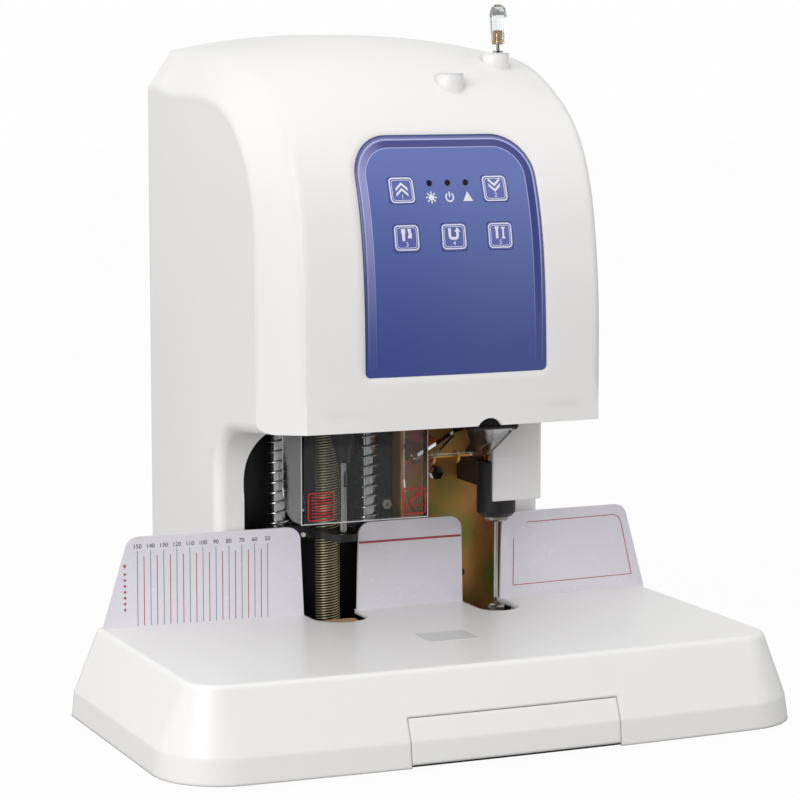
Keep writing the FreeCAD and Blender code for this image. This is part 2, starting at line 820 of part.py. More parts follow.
def rear_parts():
    wall = body_rear - rear_step
    made = {}
    flange = plate_xz([(inlet_x - inlet_width / 2, inlet_z), (inlet_x - 15, inlet_z - inlet_height / 2),
                       (inlet_x + 15, inlet_z - inlet_height / 2), (inlet_x + inlet_width / 2, inlet_z),
                       (inlet_x + 15, inlet_z + inlet_height / 2), (inlet_x - 15, inlet_z + inlet_height / 2)],
                      [4.0, 3.0, 3.0, 4.0, 3.0, 3.0], wall, wall + 2.5)
    body = plate_xz(rectangle(inlet_x - 13.7, inlet_x + 13.7, inlet_z - 9.9, inlet_z + 9.9), [2.0] * 4,
                    wall - 24, wall + 2.5)
    well = plate_xz(rectangle(inlet_x - 11.7, inlet_x + 11.7, inlet_z - 7.9, inlet_z + 7.9), [2.5] * 4,
                    wall - 16, wall + 5)
    pins = None
    for x, z in ((-7.0, -1.5), (0.0, 2.5), (7.0, -1.5)):
        pin = box(inlet_x + x - 1.0, inlet_x + x + 1.0, wall - 16, wall - 1, inlet_z + z - 2.5, inlet_z + z + 2.5)
        pins = pin if pins is None else pins.fuse(pin)
    made["power_inlet"] = flange.fuse(body).cut(well)
    made["inlet_pins"] = pins
    bezel = box(switch_x - switch_width / 2 - 1.2, switch_x + switch_width / 2 + 1.2, wall, wall + 1.6,
                inlet_z - switch_height / 2 - 1.2, inlet_z + switch_height / 2 + 1.2)
    sleeve = box(switch_x - switch_width / 2, switch_x + switch_width / 2, wall - 14, wall + 1.6,
                 inlet_z - switch_height / 2, inlet_z + switch_height / 2)
    room_x = switch_width / 2 - switch_wall
    room_z = switch_height / 2 - switch_wall
    pocket = box(switch_x - room_x, switch_x + room_x, wall - 12, wall + 5, inlet_z - room_z, inlet_z + room_z)
    reach = room_z - rocker_end_gap + rocker_pin_reach + pin_fit
    pivot = rod(switch_x, wall - rocker_pin_back, inlet_z - reach, inlet_z + reach, rocker_pin_radius + pin_fit)
    made["switch_frame"] = bezel.fuse(sleeve).cut(pocket).cut(pivot)
    made["switch_rocker"] = rocker(wall)
    cap = bar_y(fuse_x, wall, wall + 1.4, inlet_z, fuse_radius + 2)
    grip = hexagon(fuse_x, inlet_z, 9.0, wall + 1.4, wall + rear_step)
    made["fuse_holder"] = cap.fuse([grip, bar_y(fuse_x, wall - fuse_depth, wall, inlet_z, fuse_radius)])
    return made


def rocker(wall):
    """Rocker on a cross pivot: the pressed half lies low, the other half stands out."""
    half = switch_width / 2 - rocker_side_gap
    outline = [(-half, 0.2), (0.0, -0.8), (half, 1.6), (half, -3.0), (4.0, -7.5), (-4.0, -7.5), (-half, -4.5)]
    reach = switch_height / 2 - switch_wall - rocker_end_gap
    points = [V(switch_x + x, wall + 1.2 + y, inlet_z - reach) for x, y in outline]
    pivot = rod(switch_x, wall - rocker_pin_back, inlet_z - reach - rocker_pin_reach,
                inlet_z + reach + rocker_pin_reach, rocker_pin_radius)
    return prism(points, [0.6, 0, 0.6, 0.6, 1.0, 1.0, 0.6], V(0, 0, 2 * reach)).fuse(pivot)


# ---------- inner frame ----------

def inner_frame():
    back = box(-frame_half, frame_half, frame_y, frame_y + frame_thick, foot_height + plate_thick, frame_top)
    shelf = plate_xy(rectangle(-shelf_left, shelf_right, shelf_front, frame_y + frame_thick),
                     [shelf_round, shelf_round, 0, 0], frame_top - shelf_thick, frame_top)
    toe = box(-frame_half, frame_half, frame_y, frame_y + toe_depth, foot_height + plate_thick,
              foot_height + plate_thick + frame_thick)
    frame = back.fuse([shelf, toe])
    frame = frame.cut(rod(rivet_x, station_y, frame_top - 10, frame_top + 5, needle_radius + needle_clear))
    frame = frame.cut(rod(drill_x, screw_y, frame_top - 10, frame_top + 5, screw_radius + screw_clear))
    return frame.removeSplitter()


def zinc_plate():
    y1 = frame_y
    y0 = y1 - zinc_thick
    foot = foot_height + plate_thick + frame_thick
    sheet = box(zinc_left, zinc_right, y0, y1, foot, zinc_top)
    flange = box(zinc_left, zinc_left + zinc_thick, y0 - zinc_flange, y0, foot + zinc_flange_low, zinc_top)
    hole = bar_y(rivet_x + zinc_hole_x, y0 - 5, y1 + 5, zinc_hole_z, zinc_hole_radius)
    return sheet.fuse(flange).cut(hole).removeSplitter()


def frame_fasteners():
    y = frame_y - zinc_thick
    bolt = hexagon(bolt_x, bolt_z, bolt_across, y - bolt_head, y)
    washer = bar_y(bolt_x, y - washer_thick, y, bolt_z, washer_radius)
    nut = hexagon(nut_x, nut_z, nut_across, frame_y - nut_high, frame_y)
    bore = bar_y(nut_x, frame_y - nut_high - 1, frame_y - 1, nut_z, nut_bore)
    return {"frame_bolt": bolt.fuse(washer), "frame_nut": nut.cut(bore)}


def lower_bed():
    """Cast cross-beam under the table that carries pad, die and columns."""
    top = pad_top - pad_thick
    front = drawer_rear + bed_drawer_gap
    rear = frame_y - zinc_thick - seat_gap
    left = drill_x - bed_reach
    right = throat_half - bed_side_gap
    bed = box(left, right, front, rear, bed_low, bed_high)
    seat = box(drill_x - pad_seat_half, drill_x + pad_seat_half, front, pad_seat_rear, bed_high, top)
    socket = rod(rivet_x, station_y, bed_low, bed_high + 5, lower_die_radius + die_socket_wall)
    legs = [box(left, left + bed_leg, front, rear, foot_height + plate_thick, bed_low),
            box(right - bed_leg, right, front, rear, foot_height + plate_thick, bed_low)]
    bed = bed.fuse([seat, socket] + legs)
    bed = bed.cut(rod(rivet_x, station_y, bed_low - 10, bed_high + 8, lower_die_radius))
    for x in column_xs():
        bed = bed.cut(rod(x, column_y, bed_low + bed_floor, bed_high + 8, column_radius))
    bed = bed.cut(rod(drill_x, screw_y, bed_low + bed_floor, bed_high + 8, screw_radius + screw_clear))
    return bed.removeSplitter()


def column_xs():
    return (drill_x - column_pitch / 2, drill_x + column_pitch / 2)


def lower_die():
    die = rod(rivet_x, station_y, lower_die_low, lower_die_shoulder, lower_die_radius)
    die = die.fuse(rod(rivet_x, station_y, lower_die_shoulder, lower_die_top, lower_die_nose))
    rims = [e for e in die.Edges if e.BoundBox.ZMin > lower_die_shoulder - 0.01 and e.BoundBox.ZLength < 0.01]
    rims = [e for e in rims if e.BoundBox.ZMin > lower_die_top - 0.01 or e.BoundBox.XLength > 2 * lower_die_nose + 1]
    die = die.makeChamfer(0.8, rims)
    cup = Part.makeCone(needle_radius + needle_clear, lower_die_cup, 3.0,
                        V(rivet_x, station_y, lower_die_top - 3.0), Z_AXIS)
    return die.cut(cup).cut(rod(rivet_x, station_y, lower_die_low + 4, lower_die_top, needle_radius + needle_clear))


# ---------- drill station ----------

def carriage():
    x0, x1 = column_xs()
    left = hood_left + cover_thick + carriage_nose_gap
    right = hood_right - cover_thick - carriage_nose_gap
    outline = [(left, carriage_front), (right, carriage_front),
               (right, carriage_shoulder), (x1 + carriage_margin, carriage_shoulder),
               (x1 + carriage_margin, frame_y - 1), (x0 - carriage_margin, frame_y - 1),
               (x0 - carriage_margin, carriage_shoulder), (left, carriage_shoulder)]
    block = plate_xy(outline, [16.0, 16.0, 0, 4.0, 3.0, 3.0, 4.0, 0],
                     carriage_low, carriage_low + carriage_thick)
    bosses = [tube(x, column_y, carriage_low + carriage_thick, carriage_low + carriage_thick + 22, 11.0,
                   column_radius + column_fit) for x in (x0, x1)]
    for x in (x0, x1):
        block = block.cut(rod(x, column_y, carriage_low - 1, carriage_low + carriage_thick + 1,
                              column_radius + column_fit))
    block = block.cut(rod(drill_x, screw_y, carriage_low - 1, carriage_low + carriage_thick + 1,
                          screw_radius + screw_clear))
    block = block.cut(rod(drill_x, station_y, carriage_low - 1, carriage_low + carriage_thick + 1,
                          chuck_radius - 3))
    return block.fuse(bosses)


def screw_nut():
    low = carriage_low + carriage_thick
    flange = rod(drill_x, screw_y, low, low + 5, 15.0)
    body = rod(drill_x, screw_y, low, low + 24, 12.0)
    nut = flange.fuse(body)
    nut = nut.cut(rod(drill_x, station_y, low - 1, low + 30, motor_radius + 0.3))
    return nut.cut(rod(drill_x, screw_y, low - 1, low + 30, screw_radius + 0.08))


def drill_motor():
    low = carriage_low + carriage_thick
    can = rod(drill_x, station_y, low, low + motor_height, motor_radius)
    edge = [e for e in can.Edges if abs(e.BoundBox.ZMin - low - motor_height) < 0.01]
    can = can.makeChamfer(2.0, edge)
    cap = rod(drill_x, station_y, low + motor_height, low + motor_height + 6, 7.0)
    bore = rod(drill_x, station_y, low - 1, low + 20, 4.3)
    return can.fuse(cap).cut(bore)


def drill_chuck():
    cone = Part.makeCone(chuck_tip_radius, chuck_radius, chuck_cone_top - chuck_low,
                         V(drill_x, station_y, chuck_low), Z_AXIS)
    barrel = rod(drill_x, station_y, chuck_cone_top, carriage_low - spin_gap, chuck_radius)
    shaft = rod(drill_x, station_y, carriage_low - spin_gap, carriage_low + carriage_thick + 18, 4.0)
    body = cone.fuse([barrel, shaft])
    return body.cut(rod(drill_x, station_y, chuck_low - 1, chuck_low + 20, drill_radius))


def drill_bit():
    body = rod(drill_x, station_y, drill_tip, chuck_low + 20, drill_radius)
    edge = [e for e in body.Edges if abs(e.BoundBox.ZMax - drill_tip) < 0.01]
    body = body.makeChamfer(drill_wall * 0.8, edge)
    bore = rod(drill_x, station_y, drill_tip - 1, chuck_low + 19, drill_radius - drill_wall)
    window = box(drill_x - 1.2, drill_x + 1.2, station_y - 5, station_y, drill_tip + 34, drill_tip + 46)
    return body.cut(bore).cut(window)


def press_foot():
    """Foot that holds the paper down: bar on the columns, tapered toe round the drill."""
    x0, x1 = column_xs()
    bar = plate_xy(rectangle(x0 - 11, x1 + 11, press_bar_front, frame_y - 3), [2, 2, 4, 4],
                   press_low, press_top)
    outline = [(drill_x - press_toe_half, press_bar_front), (drill_x - press_toe_half, press_toe_shoulder),
               (drill_x - press_nose_half, press_toe_front), (drill_x + press_nose_half, press_toe_front),
               (drill_x + press_toe_half, press_toe_shoulder), (drill_x + press_toe_half, press_bar_front)]
    toe = plate_xy(outline, [0, 6, 5, 5, 6, 0], press_toe_low, press_toe_top)
    foot = bar.fuse(toe)
    foot = foot.cut(rod(drill_x, station_y, press_low - 5, press_top + 5, press_hole))
    for x in (x0, x1):
        foot = foot.cut(rod(x, column_y, press_low - 5, press_top + 5, column_radius + press_fit))
    foot = foot.cut(rod(drill_x, screw_y, press_low - 5, press_top + 5, screw_radius + 1.2))
    return foot.removeSplitter()


def press_screws():
    made = {}
    for name, sign in (("press_screw_left", -1), ("press_screw_right", 1)):
        x = drill_x + sign * press_screw_offset
        made[name] = bar_y(x, press_bar_front - 1.8, press_bar_front, press_screw_z, press_screw_radius)
    return made


def spring(x):
    """Compression spring between press foot and carriage: six-sided wire in short chords."""
    low = press_top + spring_wire + 0.1
    rise = carriage_low - press_top - 2 * spring_wire - 0.2
    turns = rise / spring_pitch
    steps = int(turns * spring_chords)
    rings = []
    for k in range(steps + 1):
        angle = 2 * pi * turns * k / steps
        out = V(cos(angle), sin(angle), 0)
        centre = V(x, column_y, low + rise * k / steps) + out * spring_radius
        wire = [centre + out * (spring_wire * cos(j * pi / 3)) + Z_AXIS * (spring_wire * sin(j * pi / 3))
                for j in range(6)]
        rings.append(Part.makePolygon(wire + [wire[0]]))
    return Part.makeLoft(rings, True, True)


def spindle_drive():
    """Gear motor on the shelf that turns the lead screw."""
    low = frame_top
    outline = rectangle(drill_x - gearbox_half, drill_x + gearbox_half, gearbox_front, gearbox_rear)
    gearbox = plate_xy(outline, [gearbox_round] * 4, low, low + gearbox_high)
    can = rod(drill_x, screw_y, low + gearbox_high, low + spindle_high, spindle_radius)
    body = gearbox.fuse(can)
    return body.cut(rod(drill_x, screw_y, low - 1, low + 14, screw_radius + 0.1))


def lead_screw():
    return rod(drill_x, screw_y, bed_low + bed_floor + seat_gap, frame_top + 13, screw_radius)


# ---------- rivet station ----------

def rivet_block():
    """Heat-proof holder of the hot die, on an arm that reaches back to its slide."""
    body = rod(rivet_x, station_y, rivet_low, rivet_high, rivet_block_radius)
    low_edge = [e for e in body.Edges if abs(e.BoundBox.ZMax - rivet_low) < 0.01]
    body = body.makeChamfer(rivet_block_chamfer, low_edge)
    arm = box(rivet_x - rivet_arm_half, rivet_x + rivet_arm_half, station_y, rivet_arm_back,
              rivet_high - rivet_arm_deep, rivet_high)
    body = body.fuse(arm)
    return body.cut(rod(rivet_x, station_y, rivet_low - 5, rivet_high + 5, needle_radius + needle_clear))


def rivet_cover(outer):
    """Moulded wall before the hot head: front and right side, hung under the head."""
    front = station_y - rivet_block_radius - head_cover_gap - head_cover_wall
    high = under_height + 10
    block = plate_xy(rectangle(head_cover_left, head_cover_right, front, column_front + 5),
                     [0, head_cover_round, 0, 0], head_cover_low, high)
    hollow = plate_xy(rectangle(head_cover_left - 5, head_cover_right - head_cover_wall,
                                front + head_cover_wall, column_front + 10),
                      [0, head_cover_round - head_cover_wall, 0, 0], head_cover_low - 5, high + 5)
    return block.cut(hollow).cut(outer)


def upper_die():
    ring = rod(rivet_x, station_y, rivet_low - die_drop, rivet_low, die_radius)
    edge = [e for e in ring.Edges if abs(e.BoundBox.ZMax - rivet_low + die_drop) < 0.01]
    ring = ring.makeChamfer(1.2, edge)
    return ring.cut(rod(rivet_x, station_y, rivet_low - 10, rivet_low + 5, needle_radius + needle_clear))


def rivet_piston():
    return tube(rivet_x, station_y, rivet_high, piston_top - 6, piston_radius, needle_radius + needle_clear)


def rivet_guide():
    """Bracket on the back plate whose bush guides the piston."""
    low = 262.0
    high = 300.0
    collar = rod(rivet_x, station_y, low, high, 17.0)
    web = box(rivet_x - 12, rivet_x + 12, station_y, frame_y - zinc_thick, low + 6, high - 6)
    pad = box(rivet_x - 22, rivet_x + 22, frame_y - zinc_thick - 5, frame_y - zinc_thick, low - 10, high)
    body = collar.fuse([web, pad])
    return body.cut(rod(rivet_x, station_y, low - 20, high + 20, piston_radius + 0.08))


def needle():
    low = rod(rivet_x, station_y, needle_tip + 5, needle_step, needle_radius)
    tip = Part.makeCone(0.8, needle_radius, 5.0, V(rivet_x, station_y, needle_tip), Z_AXIS)
    thin = rod(rivet_x, station_y, needle_step, knob_low() + knob_socket, needle_thin)
    collar = rod(rivet_x, station_y, boss_top(), boss_top() + 1.6, knob_collar)
    return low.fuse([tip, thin, collar])


def needle_knob():
    """Faceted clear handle: eight sides, widest above the middle, cut flat on top."""
    rings = [(0.0, 2.2), (0.3, 4.6), (0.62, knob_radius), (0.86, knob_radius * 0.93), (1.0, knob_radius * 0.55)]
    wires = []
    for share, radius in rings:
        z = knob_low() + share * knob_height
        points = [V(rivet_x + radius * cos((k + 0.5) * pi / 4), station_y + radius * sin((k + 0.5) * pi / 4), z)
                  for k in range(8)]
        wires.append(Part.makePolygon(points + [points[0]]))
    body = Part.makeLoft(wires, True, True)
    return body.cut(rod(rivet_x, station_y, knob_low() - 1, knob_low() + knob_socket, needle_thin))


# ---------- table guards ----------

def guard_sheet(length, slant_left, slant_right):
    """Upright sheet drawn from its left end along +X."""
    outline = [(0, 0), (length, 0), (length - slant_right, guard_height), (slant_left, guard_height)]
    sheet = plate_xz(outline, [0, 0, guard_round, guard_round], 0, guard_thick)
    return sheet


def ruler_guard():
    sheet = guard_sheet(ruler_length, ruler_slant, 3.0)
    sheet.translate(V(-ruler_length, 0, 0))
    sheet.rotate(V(0, 0, 0), Z_AXIS, -ruler_angle)
    sheet.translate(V(drill_x - slot_half, guard_y, tray_top))
    return sheet


def height_guard():
    length = rivet_x - die_slot_half - drill_x - slot_half
    sheet = guard_sheet(length, 1.5, 1.5)
    sheet.translate(V(drill_x + slot_half, guard_y, tray_top))
    return sheet


def notice_guard():
    sheet = guard_sheet(notice_length, 1.5, notice_slant)
    sheet.translate(V(rivet_x + die_slot_half, guard_y, tray_top))
    return sheet


# ---------- clear covers ----------

def drill_hood():
    x0 = hood_left
    x1 = hood_right
    y1 = hood_front + hood_depth
    outer = plate_yz([(hood_front, hood_low), (y1, hood_low), (y1, hood_top), (hood_front, hood_top)],
                     [1.0, hood_round, 3.0, 3.0], x0, x1)
    inner = box(x0 + cover_thick, x1 - cover_thick, hood_front + cover_thick, y1 + 5, hood_low - 5, hood_top + 5)
    shell = outer.cut(inner)
    return shell.cut(bar_x(x0 - 5, x1 + 5, hood_pin_y, hood_pin_z, hood_pin_radius + pin_fit))


def cover_rod():
    """Cross rod under the head, with the two ears that hold it on the floor of the head."""
    seat = under_z(hood_pin_y - 6) + shell_wall + 0.3
    left = -throat_half_top - 4
    right = throat_half_top + 4
    made = bar_x(left - 6, right + 6, hood_pin_y, hood_pin_z, hood_pin_radius)
    for x in (left - 6, right):
        ear = plate_yz([(hood_pin_y - 6, seat), (hood_pin_y + 6, seat), (hood_pin_y + 6, hood_pin_z + 5),
                        (hood_pin_y - 6, hood_pin_z + 5)], [0, 0, 4, 4], x, x + 6)
        made = made.fuse(ear)
    return made


def flap_bracket():
    """Sheet bracket on the zinc plate: two arms and the pin that the flap turns on."""
    y0 = frame_y - zinc_thick
    x0 = flap_left + flap_arm_inset
    x1 = flap_left + flap_width - flap_arm_inset
    back = box(x0, x1, y0 - flap_arm_thick, y0, flap_pin_z - 9, flap_pin_z + 9)
    made = back
    for x in (x0, x1 - flap_arm_thick):
        arm = plate_yz([(flap_pin_y, flap_pin_z - flap_ear), (y0, flap_pin_z - 9), (y0, flap_pin_z + 9),
                        (flap_pin_y, flap_pin_z + flap_ear)], [0, 0, 0, 0], x, x + flap_arm_thick)
        made = made.fuse([arm, bar_x(x, x + flap_arm_thick, flap_pin_y, flap_pin_z, flap_ear)])
    pin = bar_x(flap_left - 0.8, flap_left + flap_width + 0.8, flap_pin_y, flap_pin_z, pin_radius)
    return made.fuse(pin).removeSplitter()


def rivet_flap():
    """Clear tilted cover with two side returns, turning on a pin at its rear edge."""
    x0 = flap_left
    x1 = flap_left + flap_width
    gap = flap_ear + 2
    sheet = box(x0, x1, -flap_length, -gap, -cover_thick / 2, cover_thick / 2)
    corners = [e for e in sheet.Edges if abs(e.Length - cover_thick) < 0.01 and e.BoundBox.YMax < -flap_length + 1]
    sheet = sheet.makeFillet(7.0, corners)
    returns = []
    for x in (x0, x1 - cover_thick):
        web = plate_yz([(-flap_length + 10, cover_thick / 2), (-flap_length + 10, -2.0), (-30.0, -flap_skirt),
                        (4.0, -4.0), (4.0, 4.0), (-gap, cover_thick / 2)], [0, 0, 0, 3.0, 3.0, 0],
                       x, x + cover_thick)
        returns.append(web)
    body = sheet.fuse(returns)
    body = body.cut(bar_x(x0 - 5, x1 + 5, 0, 0, pin_radius + pin_fit))
    body.rotate(V(0, 0, 0), X_AXIS, -flap_tilt)
    body.translate(V(0, flap_pin_y, flap_pin_z))
    return body.removeSplitter()


def build():
    outer = body_solid(0, False)
    inner = body_solid(shell_wall, True)
    nodes = {}
    nodes["base_tray"] = base_tray()
    nodes["base_plate"] = base_plate()
    nodes.update(feet())
    nodes["scrap_drawer"] = scrap_drawer()
    nodes["drawer_rails"] = drawer_rails()
    nodes["column_skirt"] = column_skirt()
    nodes["housing"] = housing(outer, inner)
    nodes["control_panel"] = control_panel(outer)
    nodes.update(panel_parts(outer))
    nodes["rear_cover"] = rear_cover()
    nodes.update(rear_parts())
    nodes["inner_frame"] = inner_frame()
    nodes["zinc_plate"] = zinc_plate()
    nodes.update(frame_fasteners())
    nodes["lower_bed"] = lower_bed()
    for name, x in zip(("guide_column_left", "guide_column_right"), column_xs()):
        nodes[name] = rod(x, column_y, 44.0, frame_top - 4, column_radius)
    nodes["drill_pad"] = box(drill_x - pad_side / 2, drill_x + pad_side / 2, station_y - pad_side / 2 + 2,
                             station_y + pad_side / 2 + 2, pad_top - pad_thick, pad_top)
    nodes["lower_die"] = lower_die()
    nodes["carriage"] = carriage()
    nodes["screw_nut"] = screw_nut()
    nodes["drill_motor"] = drill_motor()
    nodes["drill_chuck"] = drill_chuck()
    nodes["drill_bit"] = drill_bit()
    nodes["press_foot"] = press_foot()
    nodes.update(press_screws())
    for name, x in zip(("spring_left", "spring_right"), column_xs()):
        nodes[name] = spring(x)
    nodes["spindle_drive"] = spindle_drive()
    nodes["lead_screw"] = lead_screw()
    nodes["rivet_block"] = rivet_block()
    nodes["upper_die"] = upper_die()
    nodes["rivet_piston"] = rivet_piston()
    nodes["rivet_guide"] = rivet_guide()
    nodes["rivet_cover"] = rivet_cover(outer)
    nodes["needle"] = needle()
    nodes["needle_knob"] = needle_knob()
    nodes["ruler_guard"] = ruler_guard()
    nodes["height_guard"] = height_guard()
    nodes["notice_guard"] = notice_guard()
    nodes["drill_hood"] = drill_hood()
    nodes["cover_rod"] = cover_rod()
    nodes["flap_bracket"] = flap_bracket()
    nodes["rivet_flap"] = rivet_flap()
    return nodes


os.makedirs("parts", exist_ok=True)
for node_name, shape in build().items():
    if not shape.isValid():
        print("invalid", node_name)
    print(node_name, len(shape.Solids), round(shape.Volume))
    shape.exportStep("parts/" + node_name + ".step")
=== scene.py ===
import math

import bmesh
import bpy
import numpy as np
from mathutils import Matrix, Vector


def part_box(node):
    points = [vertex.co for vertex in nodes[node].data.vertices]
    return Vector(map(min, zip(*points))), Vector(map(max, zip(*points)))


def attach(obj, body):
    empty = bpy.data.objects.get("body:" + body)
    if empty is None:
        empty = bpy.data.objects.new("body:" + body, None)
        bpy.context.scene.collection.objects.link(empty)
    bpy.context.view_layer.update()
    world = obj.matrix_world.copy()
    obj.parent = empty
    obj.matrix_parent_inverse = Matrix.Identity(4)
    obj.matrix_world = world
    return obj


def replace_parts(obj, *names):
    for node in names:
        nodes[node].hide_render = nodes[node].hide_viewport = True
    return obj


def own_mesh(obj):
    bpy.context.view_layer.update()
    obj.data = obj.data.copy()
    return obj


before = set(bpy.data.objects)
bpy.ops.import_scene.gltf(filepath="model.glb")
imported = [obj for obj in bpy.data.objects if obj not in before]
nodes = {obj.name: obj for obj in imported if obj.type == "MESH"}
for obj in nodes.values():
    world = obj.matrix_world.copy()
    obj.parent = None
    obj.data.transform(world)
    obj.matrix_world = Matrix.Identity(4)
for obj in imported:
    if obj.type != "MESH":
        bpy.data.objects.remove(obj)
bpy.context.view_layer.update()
mm = 0.001
print("frame loaded:", len(nodes), "nodes")


# ---- small tools ----

def linear(hexText):  # sRGB hex to linear colour
    rgb = np.array([int(hexText[i:i + 2], 16) for i in (1, 3, 5)]) / 255
    rgb = np.where(rgb <= 0.04045, rgb / 12.92, ((rgb + 0.055) / 1.055) ** 2.4)
    return (*rgb.tolist(), 1.0)


def addNode(tree, kind, feeds=None, **settings):  # feeds: input name or number to a value or a socket
    node = tree.nodes.new(kind)
    for key, value in settings.items():
        setattr(node, key, value)
    for key, value in (feeds or {}).items():
        if isinstance(value, bpy.types.NodeSocket):
            tree.links.new(value, node.inputs[key])
        else:
            node.inputs[key].default_value = value
    return node


def makeFinish(name, look):
    # One finish: two close colours in soft patches, a fine grain in roughness and bump.
    made = bpy.data.materials.new(name)
    made.use_nodes = True
    tree = made.node_tree
    shader = tree.nodes["Principled BSDF"]
    place = addNode(tree, "ShaderNodeTexCoord").outputs["Object"]
    stretch = addNode(tree, "ShaderNodeMapping", {"Vector": place, "Scale": look.get("stretch", (1, 1, 1))})
    patch = addNode(tree, "ShaderNodeTexNoise", {"Vector": place, "Scale": 1 / (look["patchMm"] * mm),
                                                 "Detail": 2.0, "Roughness": 0.5})
    grain = addNode(tree, "ShaderNodeTexNoise", {"Vector": stretch.outputs[0], "Scale": 1 / (look["grainMm"] * mm),
                                                 "Detail": 3.0, "Roughness": 0.6})
    tint = addNode(tree, "ShaderNodeMix", {0: patch.outputs[0], 6: linear(look["colour"]),
                                           7: linear(look["colourTwo"])}, data_type="RGBA")
    low, high = look["roughness"]
    gloss = addNode(tree, "ShaderNodeMapRange", {"Value": grain.outputs[0], "From Min": 0.3, "From Max": 0.7,
                                                 "To Min": low, "To Max": high})
    bump = addNode(tree, "ShaderNodeBump", {"Height": grain.outputs[0], "Strength": look.get("bump", 0.2),
                                            "Distance": look.get("bumpMm", 0.05) * mm})
    if look.get("edgeMm"):  # soft moulded edges where two faces meet
        edge = addNode(tree, "ShaderNodeBevel", {"Radius": look["edgeMm"] * mm}, samples=8).outputs[0]
        if look.get("edgeAboveMm"):  # sharp below this height, so that thin lips stay crisp
            height = addNode(tree, "ShaderNodeSeparateXYZ", {0: place}).outputs[2]
            start, full = (v * mm for v in look["edgeAboveMm"])
            share = addNode(tree, "ShaderNodeMapRange", {"Value": height, "From Min": start, "From Max": full})
            plain = addNode(tree, "ShaderNodeNewGeometry").outputs["Normal"]
            edge = addNode(tree, "ShaderNodeMix", {0: share.outputs[0], 4: plain, 5: edge},
                           data_type="VECTOR").outputs[1]
        tree.links.new(edge, bump.inputs["Normal"])
    tree.links.new(tint.outputs[2], shader.inputs["Base Color"])
    tree.links.new(gloss.outputs[0], shader.inputs["Roughness"])
    tree.links.new(bump.outputs[0], shader.inputs["Normal"])
    for key, value in look.get("shader", {}).items():
        shader.inputs[key].default_value = value
    return made


def dress(material, *names):
    for name in names:
        for one in nodes[name].material_slots:
            one.material = material


def fromFaces(name, points, faces, sharpAngle=35):
    mesh = bpy.data.meshes.new(name)
    mesh.from_pydata(np.asarray(points, float).reshape(-1, 3).tolist(), [], faces)
    work = bmesh.new()
    work.from_mesh(mesh)
    bmesh.ops.remove_doubles(work, verts=work.verts, dist=1e-7)
    bmesh.ops.recalc_face_normals(work, faces=work.faces)
    work.to_mesh(mesh)
    work.free()
    mesh.shade_smooth()
    mesh.set_sharp_from_angle(angle=math.radians(sharpAngle))
    piece = bpy.data.objects.new(name, mesh)
    bpy.context.scene.collection.objects.link(piece)
    return piece


def fromGrid(name, points, wrap=False, caps=False, sharpAngle=35):
    # points[i, j]: i runs along the piece and j round it
    rows, cols = points.shape[:2]
    i, j = np.meshgrid(np.arange(rows - 1), np.arange(cols if wrap else cols - 1), indexing="ij")
    jNext = (j + 1) % cols
    faces = np.stack([i * cols + j, i * cols + jNext, (i + 1) * cols + jNext, (i + 1) * cols + j], -1)
    faces = faces.reshape(-1, 4).tolist()
    if caps:
        faces += [list(range(cols)), list(range((rows - 1) * cols, rows * cols))]
    return fromFaces(name, points, faces, sharpAngle)


def tubeAlong(name, path, radius, sides):
    # A circle carried along a path: each ring lies across the path's own direction.
    path = np.asarray(path, float)
    ahead = np.gradient(path, axis=0)
    ahead /= np.linalg.norm(ahead, axis=1)[:, None]
    across = np.cross(ahead, np.where(np.abs(ahead[:, 2:3]) > 0.95, [[1.0, 0, 0]], [[0, 0, 1.0]]))
    across /= np.linalg.norm(across, axis=1)[:, None]
    upward = np.cross(ahead, across)
    turn = np.linspace(0, 2 * np.pi, sides, endpoint=False)
    ring = across[:, None] * np.cos(turn)[None, :, None] + upward[:, None] * np.sin(turn)[None, :, None]
    return fromGrid(name, path[:, None] + ring * radius, wrap=True, caps=True)


def turned(name, profile, centre, steps, sharpAngle=35):
    # A profile of (radius, height) spun round the upright axis through centre.
    profile = np.asarray(profile, float)
    turn = np.linspace(0, 2 * np.pi, steps, endpoint=False)
    r, h = profile[:, 0][:, None], profile[:, 1][:, None]
    points = np.stack([r * np.cos(turn), r * np.sin(turn), h + 0 * turn], -1) + np.asarray(centre, float)
    return fromGrid(name, points, wrap=True, sharpAngle=sharpAngle)


def finished(piece, material, body):
    piece.data.materials.clear()
    piece.data.materials.append(material)
    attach(piece, body)
    return piece


def baked(piece):  # the piece's modifiers, made part of its mesh
    graph = bpy.context.evaluated_depsgraph_get()
    mesh = bpy.data.meshes.new_from_object(piece.evaluated_get(graph))
    name = piece.name
    bpy.data.objects.remove(piece)
    mesh.name = name
    made = bpy.data.objects.new(name, mesh)
    bpy.context.scene.collection.objects.link(made)
    return made


